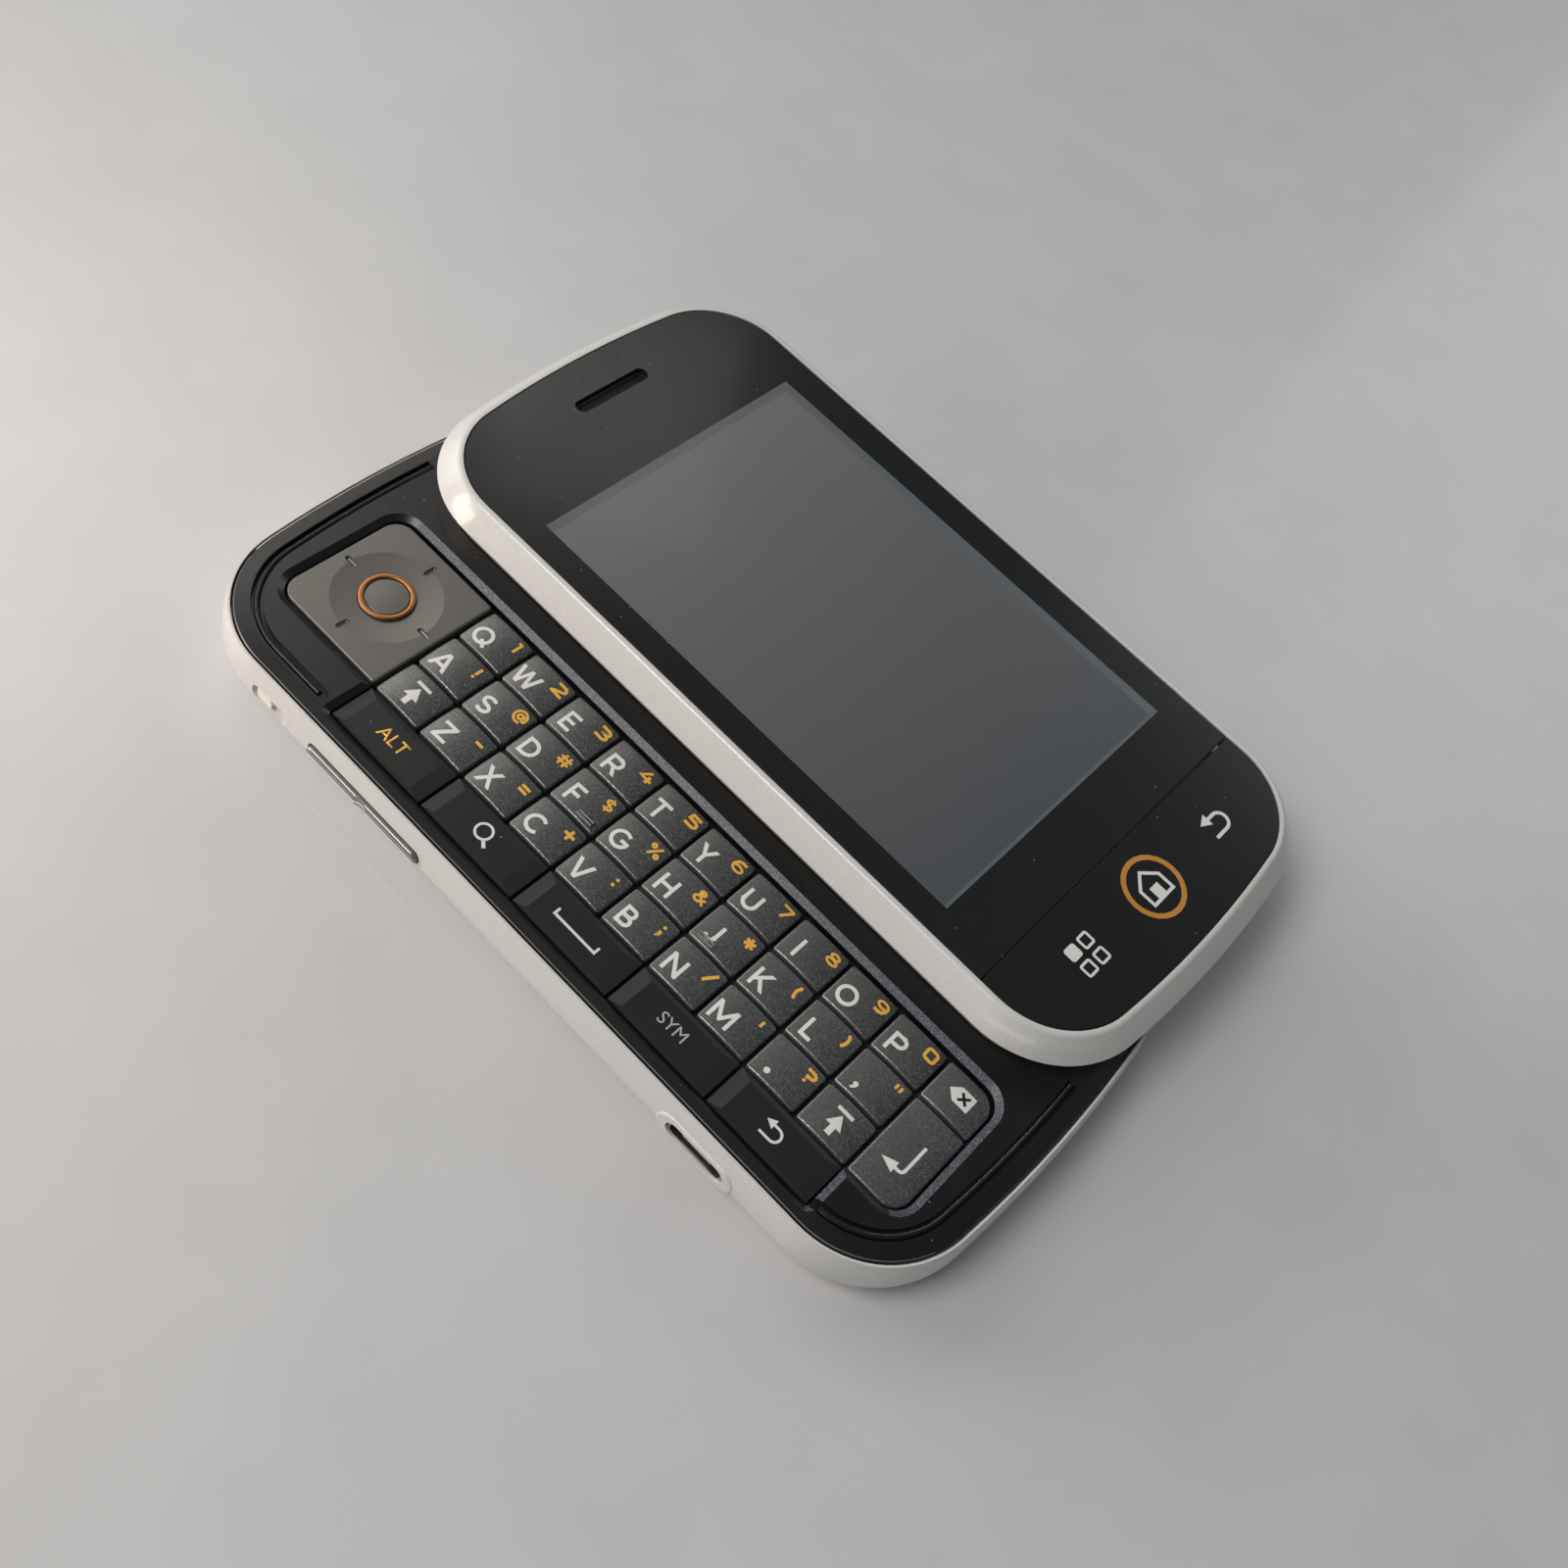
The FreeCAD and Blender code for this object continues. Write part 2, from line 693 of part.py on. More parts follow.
def nav_pad():
    """Four-way pad with a shallow dish, four hollow ticks and a hole for the middle key."""
    x0 = keypad_left
    x1 = keypad_left + pad_width
    y0 = row_line(key_rows) + key_gap / 2
    y1 = row_line(0) - key_gap / 2
    round_corner = keypad_outer_corner
    pad = rounded_block(x0, x1, y0, y1, key_bottom, key_top,
                        [round_corner, key_corner_radius, key_corner_radius, round_corner])
    pad = pad.makeFillet(key_edge_radius, edges_above(pad, key_top - CUT / 2))
    dish = (pad_dish_radius ** 2 + pad_dish_depth ** 2) / (2 * pad_dish_depth)
    pad = pad.cut(Part.makeSphere(dish, Vector(pad_x, pad_y, key_top - pad_dish_depth + dish)))
    radius = pad_tick_width / 2
    start = pad_tick_reach - pad_tick_length / 2 + radius
    end = pad_tick_reach + pad_tick_length / 2 - radius
    for turn in range(4):
        tick = Part.makeCylinder(radius, end - start, Vector(0, start, 0), Vector(0, 1, 0))
        for reach in (start, end):
            tick = tick.fuse(Part.makeSphere(radius, Vector(0, reach, 0)))
        tick.rotate(Vector(0, 0, 0), Vector(0, 0, 1), 90 * turn)
        pad = pad.cut(moved(tick, pad_x, pad_y, key_top - pad_tick_drop))
    return pad.cut(post(pad_x, pad_y, key_bottom - CUT, key_top + CUT, ok_radius + ok_gap))


pad_x = keypad_left + pad_width / 2
pad_y = (row_line(0) + row_line(key_rows)) / 2
NODES["nav_pad"] = nav_pad()


def nav_ok():
    """Round middle key with a raised ring round a domed disc."""
    disc_radius = ok_radius - ok_ring_width - ok_groove_width
    key = post(pad_x, pad_y, key_bottom, key_top + ok_ring_rise, ok_radius)
    key = key.cut(post(pad_x, pad_y, key_top - ok_groove_depth, key_top + CUT,
                       ok_radius - ok_ring_width))
    disc_top = key_top + ok_ring_rise
    disc = post(pad_x, pad_y, key_top - 2 * ok_groove_depth, disc_top, disc_radius)
    dome = (disc_radius ** 2 + ok_crown_drop ** 2) / (2 * ok_crown_drop)
    disc = disc.common(Part.makeSphere(dome, Vector(pad_x, pad_y, disc_top - dome)))
    rim = edges_above(disc, key_top - ok_groove_depth)
    return joined([key, disc.makeFillet(ok_groove_depth * 0.5, rim)])


NODES["nav_ok"] = nav_ok()

LETTER_ROWS = [(0, 0, "qwertyuiop"), (1, 0, "asdfghjkl"), (2, 1, "zxcvbnm")]
for row, first_column, letters in LETTER_ROWS:
    for place, letter in enumerate(letters):
        cap = grid_key(first_column + place, row)
        if letter in home_bar_starts:
            cap = with_home_bars(cap, first_column + place, row, home_bar_starts[letter])
        NODES["key_" + letter] = cap
last_column = key_columns - 1
small = key_corner_radius
NODES["key_delete"] = grid_key(last_column, 0,
                               radii=[small, small, keypad_outer_corner, small])
NODES["key_comma"] = grid_key(last_column - 1, 1)
NODES["key_enter"] = grid_key(last_column, 1, rows=2,
                              radii=[small, keypad_outer_corner, small, small])
NODES["key_shift_left"] = grid_key(0, 2)
NODES["key_period"] = grid_key(last_column - 2, 2)
NODES["key_shift_right"] = grid_key(last_column - 1, 2)


def bar_key(index):
    """Glossy key two columns wide, with a raised top and sloping sides."""
    x0 = column_line(2 * index) + key_gap / 2
    x1 = column_line(2 * index + 2) - key_gap / 2
    y0 = keypad_near + well_gap
    y1 = y0 + bar_key_depth
    top = panel_top - bar_key_sink
    low = top - bar_key_rise

    def rectangle(left, right, near, far, z):
        points = [Vector(x0 + left, y0 + near, z), Vector(x1 - right, y0 + near, z),
                  Vector(x1 - right, y1 - far, z), Vector(x0 + left, y1 - far, z)]
        return Part.makePolygon(points + points[:1])

    raised = Part.makeLoft([
        rectangle(0, 0, 0, 0, low),
        rectangle(bar_key_side_bevel, bar_key_side_bevel, bar_key_near_bevel,
                  bar_key_far_bevel, top)], True, True)
    return joined([block(x0, x1, y0, y1, key_bottom, low), raised])


for index, name in enumerate(["alt", "search", "space", "symbol", "back"]):
    NODES["key_" + name] = bar_key(index)


# ---------------------------------------------------------------- slide
def slide_rail_plate():
    """Steel plate in the pocket of the bezel, with a flanged rail at each end."""
    low = panel_top - rail_sink
    plate = block(-rail_half, rail_half, rail_centre_y - plate_half_length,
                  rail_centre_y + plate_half_length, low, low + slide_sheet)
    pieces = [plate]
    y0 = rail_centre_y - rail_half_length
    y1 = rail_centre_y + rail_half_length
    for side in (-1, 1):
        inner, face, tip = (side * (rail_half - slide_sheet), side * rail_half,
                            side * (rail_half + rail_lip))
        pieces.append(block(min(inner, face), max(inner, face), y0, y1,
                            low, flange_low + slide_sheet))
        pieces.append(block(min(inner, tip), max(inner, tip), y0, y1,
                            flange_low, flange_low + slide_sheet))
    return joined(pieces)


carrier_half_length = slot_half - door_gap


def slide_carrier_plate():
    """Steel plate under the screen half, with an edge folded under each rail flange."""
    half = slide_width / 2
    pieces = [block(-half, half, -carrier_half_length, carrier_half_length,
                    carrier_low, carrier_low + slide_sheet)]
    hook_tip = rail_half + hook_clearance
    for side in (-1, 1):
        outer, face, tip = side * half, side * (half - slide_sheet), side * hook_tip
        pieces.append(block(min(outer, face), max(outer, face),
                            -carrier_half_length, carrier_half_length,
                            hook_low, carrier_low + slide_sheet))
        pieces.append(block(min(outer, tip), max(outer, tip),
                            -carrier_half_length, carrier_half_length,
                            hook_low, hook_low + slide_sheet))
    return moved(joined(pieces), 0, slide_travel, 0)


NODES["slide_rail_plate"] = slide_rail_plate()
NODES["slide_carrier_plate"] = slide_carrier_plate()

# ---------------------------------------------------------------- screen half
lens_bottom = phone_thickness - lens_thickness
ledge_bottom = lens_bottom - lens_ledge_thickness
lens_half_length = LENS[0]
seam_x = lens_half_length - key_panel_length
core_inset = cover_taper + 4.0


def top_rear_cover():
    """Black back of the screen half, with the recess that takes the carrier plate."""
    sloped = swept_ring(TOP, [
        (-cover_taper, top_underside), (-cover_brow, bezel_bottom),
        (-core_inset, bezel_bottom), (-core_inset, top_underside)])
    core = slab(grown(TOP, -core_inset), top_underside, bezel_bottom)
    recess = block(-slide_width / 2 - door_gap, slide_width / 2 + door_gap,
                   -slot_half, slot_half, top_underside - CUT, carrier_low + slide_sheet)
    return moved(joined([sloped, core]).cut(recess), 0, slide_travel, 0)


def top_bezel():
    """White ring round the screen: a round ridge, a sloping face and a ledge for the lens."""
    edge = -bezel_width
    ridge = edge + bezel_ridge
    widest = phone_thickness - bezel_drop
    fall = math.atan2(bezel_drop, -ridge)
    sink = bezel_round * (1 / math.cos(fall / 2) - 1) / math.tan(fall / 2)
    ring = swept_ring(TOP, [
        (edge + lens_gap, lens_bottom),
        (edge + lens_gap, phone_thickness),
        (ridge - bezel_round, phone_thickness),
        ((ridge - sink * math.sin(fall / 2), phone_thickness - sink * math.cos(fall / 2)),
         (ridge + bezel_round * math.cos(fall),
          phone_thickness - bezel_round * math.sin(fall))),
        ((ridge * 0.5 + bezel_swell, (phone_thickness + widest) / 2 + bezel_swell),
         (0, widest)),
        ((-bezel_lower_edge * 0.2, bezel_bottom + bezel_lower_edge * 0.4),
         (-bezel_lower_edge, bezel_bottom)),
        (edge - lens_gap, bezel_bottom),
        (edge - lens_gap, ledge_bottom),
        (edge - lens_ledge_width, ledge_bottom),
        (edge - lens_ledge_width, lens_bottom),
    ])
    return moved(ring, 0, slide_travel, 0)


def lens_part(x0, x1, low):
    """The stretch of the glossy face between two places along the phone."""
    face = slab(LENS, low, phone_thickness)
    keep = block(x0, x1, -body_half_width, body_half_width, low - CUT, phone_thickness + CUT)
    face = face.common(keep)
    rim = [edge for edge in face.Edges
           if all(abs(v.Z - phone_thickness) < 1e-6 for v in edge.Vertexes)]
    return face.makeChamfer(lens_edge_bevel, rim)


ear_x = -lens_half_length + ear_end_margin


def screen_lens():
    """Clear plastic lens over the screen, printed black behind, with the earpiece slot."""
    lens = lens_part(-body_half_length, seam_x - key_panel_seam / 2, lens_bottom)
    slot = rounded_block(ear_x - ear_slot_width / 2, ear_x + ear_slot_width / 2,
                         -ear_slot_length / 2, ear_slot_length / 2,
                         lens_bottom - CUT, phone_thickness + CUT,
                         [ear_slot_width * 0.49] * 4)
    return moved(lens.cut(slot), 0, slide_travel, 0)


def front_key_panel():
    """Glossy panel with the menu, home and back keys, free to dip onto its ledge."""
    panel = lens_part(seam_x + key_panel_seam / 2, body_half_length,
                      lens_bottom + key_panel_travel + press_clearance)
    return moved(panel, 0, slide_travel, 0)


window_left = -lens_half_length + window_end_margin


def lcd_module():
    """Screen module on the floor of the screen half, a little larger than the window."""
    module = block(window_left - lcd_border, window_left + window_length + lcd_border,
                   -window_width / 2 - lcd_border, window_width / 2 + lcd_border,
                   bezel_bottom, bezel_bottom + lcd_thickness)
    return moved(module, 0, slide_travel, 0)


def earpiece():
    """Small flat speaker capsule under the slot."""
    half_x = ear_slot_width / 2 + ear_border
    half_y = ear_slot_length / 2 + ear_border
    capsule = rounded_block(ear_x - half_x, ear_x + half_x, -half_y, half_y,
                            bezel_bottom, lens_bottom - ear_clearance, [half_x * 0.9] * 4)
    return moved(capsule, 0, slide_travel, 0)


NODES["top_rear_cover"] = top_rear_cover()
NODES["top_bezel"] = top_bezel()
NODES["screen_lens"] = screen_lens()
NODES["front_key_panel"] = front_key_panel()
NODES["lcd_module"] = lcd_module()
NODES["earpiece"] = earpiece()


# ---------------------------------------------------------------- sockets, camera, speaker
def headset_jack():
    """Round headset socket in the left end, with a square body behind its collar."""
    length = jack_depth + jack_back
    along = Vector(1, 0, 0)
    barrel = Part.makeCylinder(jack_outer_radius, length,
                               Vector(jack_mouth_x, jack_y, jack_z), along)
    body = block(jack_mouth_x + jack_collar, jack_mouth_x + length,
                 jack_y - jack_outer_radius, jack_y + jack_outer_radius,
                 jack_z - jack_outer_radius, jack_z + jack_outer_radius)
    bore = Part.makeCylinder(jack_bore_radius, jack_depth,
                             Vector(jack_mouth_x, jack_y, jack_z), along)
    return joined([barrel, body]).cut(bore)


def usb_socket():
    """Small flat charging and data socket: a steel shell with a tongue inside."""
    half = usb_width / 2
    low = port_z - usb_height / 2
    high = port_z + usb_height / 2
    shell = long_hole(usb_x - half, usb_x + half, low, high, usb_mouth, usb_back,
                      usb_corner_radius)
    hollow = long_hole(usb_x - half + usb_shell, usb_x + half - usb_shell,
                       low + usb_shell, high - usb_shell, usb_mouth - CUT,
                       usb_back - 2 * usb_shell, usb_corner_radius - usb_shell)
    tongue_half = half - usb_shell - usb_tongue_inset
    tongue = block(usb_x - tongue_half, usb_x + tongue_half, usb_mouth + usb_shell,
                   usb_back - usb_shell, port_z - usb_tongue_thickness / 2,
                   port_z + usb_tongue_thickness / 2)
    return joined([shell.cut(hollow), tongue])


def camera_module():
    """Camera block on the floor with its round window sunk in the underside."""
    half = camera_body_size / 2
    body = block(camera_x - half, camera_x + half, camera_y - half, camera_y + half,
                 floor_thickness, floor_thickness + camera_body_height)
    window = post(camera_x, camera_y, camera_recess, floor_thickness + CUT,
                  camera_window_radius)
    return joined([body, window])


def loudspeaker():
    """Loudspeaker on the floor behind its slots."""
    return rounded_block(speaker_x - speaker_length / 2, speaker_x + speaker_length / 2,
                         speaker_y - speaker_width / 2, speaker_y + speaker_width / 2,
                         floor_thickness, floor_thickness + speaker_height,
                         [speaker_slot_width] * 4)


NODES["headset_jack"] = headset_jack()
NODES["usb_socket"] = usb_socket()
NODES["camera_module"] = camera_module()
NODES["loudspeaker"] = loudspeaker()


# ---------------------------------------------------------------- side keys
def side_key(x, length):
    """Key for the near side wall: a rounded bar with a flange behind the wall."""
    face = near_wall - side_key_proud
    flange_face = near_inner + side_key_float
    half = length / 2
    bar = long_hole(x - half, x + half, key_low, key_high, face,
                    flange_face + side_key_flange / 2, side_key_height * 0.49)
    bar = bar.makeFillet(side_key_edge_radius, edges_at_y(bar, face))
    flange = block(x - half - side_key_flange_lip, x + half + side_key_flange_lip,
                   flange_face, flange_face + side_key_flange,
                   key_low - side_key_flange_lip, sheet_bottom - side_key_gap / 2)
    return joined([bar, flange])


def volume_rocker():
    """Volume key for the near side, with a shallow notch between its two ends."""
    notch_y = near_wall - side_key_proud + rocker_notch_depth - rocker_notch_radius
    notch = post(rocker_x, notch_y, key_low - CUT, key_high + CUT, rocker_notch_radius)
    return side_key(rocker_x, rocker_length).cut(notch)


def power_key():
    """Power key for the far side, the near side's key turned half way round."""
    key = side_key(-power_x, power_length)
    key.rotate(Vector(0, 0, 0), Vector(0, 0, 1), 180)
    return key


def silent_switch():
    """Sliding knob in its recess, held by a block that shuts the slot behind the wall."""
    x0 = mute_x - (mute_travel + mute_knob_length) / 2
    x1 = x0 + mute_knob_length
    stem_half = side_key_height / 4
    knob_face = near_wall + side_key_gap
    knob = long_hole(x0, x1, key_low, key_high, knob_face,
                     near_wall + mute_recess_depth - side_key_gap / 2,
                     side_key_height * 0.25)
    stem = block(x0, x1, knob_face + side_key_gap, near_inner + side_key_float,
                 side_key_z - stem_half, side_key_z + stem_half)
    shutter = mute_travel + side_key_flange_lip
    keeper = block(x0 - shutter, x1 + shutter,
                   near_inner + side_key_gap, near_inner + side_key_gap + side_key_flange,
                   side_key_z - 2 * stem_half, side_key_z + 2 * stem_half)
    return joined([knob, stem, keeper])


NODES["volume_rocker"] = volume_rocker()
NODES["power_key"] = power_key()
NODES["silent_switch"] = silent_switch()

# ---------------------------------------------------------------- output
os.makedirs("parts", exist_ok=True)
for name, shape in NODES.items():
    shape.exportStep("parts/" + name + ".step")
print(len(NODES), "nodes, slide travel", round(slide_travel, 3))
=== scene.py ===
import math

import bpy
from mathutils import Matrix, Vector


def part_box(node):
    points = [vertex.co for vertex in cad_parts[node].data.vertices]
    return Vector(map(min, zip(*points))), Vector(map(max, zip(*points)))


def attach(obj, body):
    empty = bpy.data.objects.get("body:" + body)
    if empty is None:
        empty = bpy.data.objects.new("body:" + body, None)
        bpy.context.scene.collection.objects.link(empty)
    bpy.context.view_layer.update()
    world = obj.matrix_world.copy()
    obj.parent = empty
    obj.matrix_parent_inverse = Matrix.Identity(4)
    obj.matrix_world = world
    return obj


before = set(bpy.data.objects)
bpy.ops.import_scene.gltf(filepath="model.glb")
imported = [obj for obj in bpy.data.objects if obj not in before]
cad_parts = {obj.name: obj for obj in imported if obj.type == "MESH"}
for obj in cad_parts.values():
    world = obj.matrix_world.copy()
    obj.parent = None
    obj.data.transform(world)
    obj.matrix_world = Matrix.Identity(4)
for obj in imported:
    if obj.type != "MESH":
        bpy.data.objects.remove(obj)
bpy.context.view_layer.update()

# Where the phone lies: a pale glossy table under a bright overcast window, with the phone
# open and its near long side towards the viewer. The camera looks down on it from its near
# right.
scene = bpy.context.scene
scene.view_settings.view_transform = "Standard"

bpy.ops.object.camera_add(
    location=(0.04486, -0.08896, 0.16258),
    rotation=(math.radians(31.590), math.radians(-14.182), math.radians(43.344)))
viewpoint = bpy.context.object
viewpoint.name = "viewpoint"
viewpoint.data.lens = 36.743
viewpoint.data.clip_start = 0.005
scene.camera = viewpoint

sky = bpy.data.worlds.new("overcast")
sky.use_nodes = True
sky.node_tree.nodes["Background"].inputs["Color"].default_value = (0.86, 0.97, 1.0, 1)
sky.node_tree.nodes["Background"].inputs["Strength"].default_value = 0.07
scene.world = sky


def soft_lamp(name, place, width, height, power, colour):
    """Oblong area lamp that faces the phone, with its width level."""
    bpy.ops.object.light_add(type="AREA", location=place)
    lamp = bpy.context.object
    lamp.name = name
    lamp.rotation_euler = (-Vector(place)).to_track_quat("-Z", "Y").to_euler()
    lamp.data.shape = "RECTANGLE"
    lamp.data.size = width
    lamp.data.size_y = height
    lamp.data.energy = power
    lamp.data.color = colour


soft_lamp("sky_lamp", (-0.35, -0.60, 1.00), 0.50, 0.50, 7.6, (1.0, 0.96, 0.92))
soft_lamp("window_lamp", (-1.10, -0.30, 0.75), 1.00, 1.00, 2.0, (0.70, 0.88, 1.0))
soft_lamp("low_lamp", (-1.25, -0.20, 0.28), 0.80, 0.80, 5.0, (1.0, 0.95, 0.93))
soft_lamp("back_lamp", (-0.85, 0.42, 0.60), 0.60, 0.60, 0.9, (1.0, 0.96, 0.90))
soft_lamp("pad_lamp", (-0.74, 0.34, 0.88), 0.35, 0.35, 0.8, (1.0, 0.95, 0.88))
soft_lamp("haze_lamp", (-0.45, 0.56, 0.69), 0.16, 0.16, 0.070, (1.0, 0.97, 0.92))
soft_lamp("left_lamp", (-0.15, -0.12, 0.05), 0.06, 0.06, 0.13, (1.0, 0.82, 0.68))
soft_lamp("near_lamp", (0.45, -1.00, 0.42), 0.90, 0.12, 0.85, (1.0, 0.97, 0.95))
soft_lamp("far_lamp", (0.10, 0.70, 0.38), 0.40, 0.40, 0.75, (0.95, 1.0, 1.0))


def plain_finish(name, values):
    """Material whose shader holds the given values on its own sockets."""
    finish = bpy.data.materials.new(name)
    finish.use_nodes = True
    shader = finish.node_tree.nodes["Principled BSDF"]
    for socket, value in values.items():
        shader.inputs[socket].default_value = value
    return finish


def feed(tree, socket, value):
    """Links a socket to the result of another node, or sets it to a plain value."""
    if isinstance(value, bpy.types.NodeSocket):
        tree.links.new(value, socket)
    else:
        socket.default_value = value


def calculate(tree, kind, *values, clamp=False):
    """Result of one maths node."""
    node = tree.nodes.new("ShaderNodeMath")
    node.operation = kind
    node.use_clamp = clamp
    for socket, value in zip(node.inputs, values):
        feed(tree, socket, value)
    return node.outputs[0]


def blend(tree, share, first, second, kind="RGBA"):
    """Result of one mix node: the first value at share 0 and the second at share 1."""
    node = tree.nodes.new("ShaderNodeMix")
    node.data_type = kind
    entry, outcome = {"FLOAT": (2, 0), "VECTOR": (4, 1), "RGBA": (6, 2)}[kind]
    feed(tree, node.inputs[0], share)
    feed(tree, node.inputs[entry], first)
    feed(tree, node.inputs[entry + 1], second)
    return node.outputs[outcome]


def part_axis(tree, kind, axis):
    """One axis of a spot's place on its part ("Object") or of its facing ("Normal")."""
    split = tree.nodes.new("ShaderNodeSeparateXYZ")
    feed(tree, split.inputs[0], tree.nodes.new("ShaderNodeTexCoord").outputs[kind])
    return split.outputs[axis]


def surface_group():
    """Node group: cloudy tone, fine flecks, dust specks, uneven gloss and a fine grain."""
    tree = bpy.data.node_groups.new("surface detail", "ShaderNodeTree")
    for label, value in (
            ("Colour", (0.5, 0.5, 0.5, 1)), ("Fleck Colour", (0.8, 0.8, 0.8, 1)),
            ("Fleck Share", 0.0), ("Fleck Scale", 6000.0), ("Cloud", 0.1), ("Dust", 0.0),
            ("Roughness", 0.4), ("Roughness Spread", 0.1), ("Grain Scale", 12000.0),
            ("Grain Depth", 0.5)):
        kind = "NodeSocketColor" if "Colour" in label else "NodeSocketFloat"
        tree.interface.new_socket(label, in_out="INPUT", socket_type=kind).default_value = value
    for label, kind in (("Colour", "Color"), ("Roughness", "Float"), ("Normal", "Vector")):
        tree.interface.new_socket(label, in_out="OUTPUT", socket_type="NodeSocket" + kind)
    given = tree.nodes.new("NodeGroupInput").outputs
    result = tree.nodes.new("NodeGroupOutput").inputs
    place = tree.nodes.new("ShaderNodeTexCoord").outputs["Object"]
    cloud_scale = 55.0
    speck_scale = 420.0
    speck_radius = 0.06
    wobble_scale = 9000.0
    wobble_depth = 0.06
    speck_colour = (0.55, 0.55, 0.56, 1)
    speck_roughness = 0.4
    gloss_scale = 140.0
    grain_height = 0.000004

    def noise(scale, detail):
        """Cloudy noise over the part."""
        node = tree.nodes.new("ShaderNodeTexNoise")
        for label, value in (("Vector", place), ("Scale", scale), ("Detail", detail)):
            feed(tree, node.inputs[label], value)
        return node.outputs["Fac"]

    def cells(scale):
        """Cells strewn over the part."""
        node = tree.nodes.new("ShaderNodeTexVoronoi")
        feed(tree, node.inputs["Vector"], place)
        feed(tree, node.inputs["Scale"], scale)
        return node.outputs

    cloud = calculate(tree, "SUBTRACT", noise(cloud_scale, detail=3.0), 0.5)
    cloud = calculate(tree, "MULTIPLY", cloud, given["Cloud"])
    tone = tree.nodes.new("ShaderNodeHueSaturation")
    feed(tree, tone.inputs["Color"], given["Colour"])
    feed(tree, tone.inputs["Value"], calculate(tree, "ADD", cloud, 1.0))

    chance = tree.nodes.new("ShaderNodeSeparateColor")
    feed(tree, chance.inputs["Color"], cells(given["Fleck Scale"])["Color"])
    lit = calculate(tree, "LESS_THAN", chance.outputs["Red"], given["Fleck Share"])
    lit = calculate(tree, "MULTIPLY", lit, chance.outputs["Green"])
    flecked = blend(tree, lit, tone.outputs["Color"], given["Fleck Colour"])

    wobble = calculate(tree, "MULTIPLY", noise(wobble_scale, detail=2.0), wobble_depth)
    distance = calculate(tree, "ADD", cells(speck_scale)["Distance"], wobble)
    near = calculate(tree, "LESS_THAN", distance, speck_radius)
    speck = calculate(tree, "MULTIPLY", near, given["Dust"], clamp=True)
    feed(tree, result["Colour"], blend(tree, speck, flecked, speck_colour))

    gloss = calculate(tree, "SUBTRACT", noise(gloss_scale, detail=4.0), 0.5)
    gloss = calculate(tree, "MULTIPLY", gloss, given["Roughness Spread"])
    gloss = calculate(tree, "ADD", gloss, given["Roughness"])
    dusty = calculate(tree, "MULTIPLY", speck, speck_roughness)
    feed(tree, result["Roughness"], calculate(tree, "ADD", gloss, dusty, clamp=True))

    bump = tree.nodes.new("ShaderNodeBump")
    bump.inputs["Distance"].default_value = grain_height
    feed(tree, bump.inputs["Strength"], given["Grain Depth"])
    feed(tree, bump.inputs["Height"], noise(given["Grain Scale"], detail=2.0))
    feed(tree, result["Normal"], bump.outputs["Normal"])
    return tree


surface_detail = surface_group()


def surface_node(tree, detail_values):
    """The surface detail group in one material, with the values of that material."""
    detail = tree.nodes.new("ShaderNodeGroup")
    detail.node_tree = surface_detail
    for socket, value in detail_values.items():
        detail.inputs[socket].default_value = value
    return detail


def detailed_finish(name, shader_values, detail_values):
    """Material whose colour, gloss and grain come from the surface detail group."""
    finish = plain_finish(name, shader_values)
    tree = finish.node_tree
    detail = surface_node(tree, detail_values)
    detail.name = "detail"
    shader = tree.nodes["Principled BSDF"].inputs
    tree.links.new(detail.outputs["Colour"], shader["Base Color"])
    tree.links.new(detail.outputs["Roughness"], shader["Roughness"])
    tree.links.new(detail.outputs["Normal"], shader["Normal"])
    return finish


table_size = 3.0
table_drop = 0.00005
bpy.ops.mesh.primitive_plane_add(size=table_size, location=(0, 0, -table_drop))
table_top = bpy.context.object
table_top.name = "table_top"
table_top.data.materials.append(detailed_finish(
    "pale lacquered table", {"Coat Weight": 0.25, "Coat Roughness": 0.12},
    {"Colour": (0.60, 0.60, 0.61, 1), "Cloud": 0.12, "Dust": 0.15, "Roughness": 0.42,
     "Roughness Spread": 0.08, "Grain Depth": 0.1}))


def paint(finish, *nodes):
    """Gives a finish to parts of the phone."""
    for node in nodes:
        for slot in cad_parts[node].material_slots:
            slot.material = finish


# Rear housing and battery door: one moulding in pearl white lacquer over ABS, curved under
# to the table, and a flat door clipped flush into its floor.
white_lacquer = detailed_finish(
    "pearl white lacquer", {"Coat Weight": 0.5, "Coat Roughness": 0.1},
    {"Colour": (0.62, 0.615, 0.60, 1), "Fleck Colour": (0.74, 0.73, 0.71, 1),
     "Fleck Share": 0.12, "Fleck Scale": 9000.0, "Cloud": 0.03, "Roughness": 0.34,
     "Roughness Spread": 0.08, "Grain Depth": 0.15})
paint(white_lacquer, "rear_housing", "battery_door")

# Battery, circuit board and rubber key sheet: the stack that the housing holds. The board
# lies on four posts, and the key sheet with its dome switches lies on the board.
battery_sleeve = detailed_finish(
    "battery sleeve", {"Metallic": 0.2},
    {"Colour": (0.10, 0.10, 0.11, 1), "Fleck Colour": (0.2, 0.2, 0.2, 1),
     "Fleck Share": 0.02, "Cloud": 0.08})
board_lacquer = detailed_finish(
    "green board lacquer", {"Coat Weight": 0.3},
    {"Colour": (0.02, 0.14, 0.06, 1), "Fleck Colour": (0.5, 0.42, 0.15, 1),
     "Fleck Share": 0.05, "Fleck Scale": 900.0, "Cloud": 0.2, "Roughness": 0.35})
sheet_rubber = detailed_finish(
    "black key rubber", {},
    {"Colour": (0.018, 0.018, 0.02, 1), "Dust": 0.2, "Roughness": 0.7, "Grain Depth": 0.6})
paint(battery_sleeve, "battery_pack")
paint(board_lacquer, "main_board")
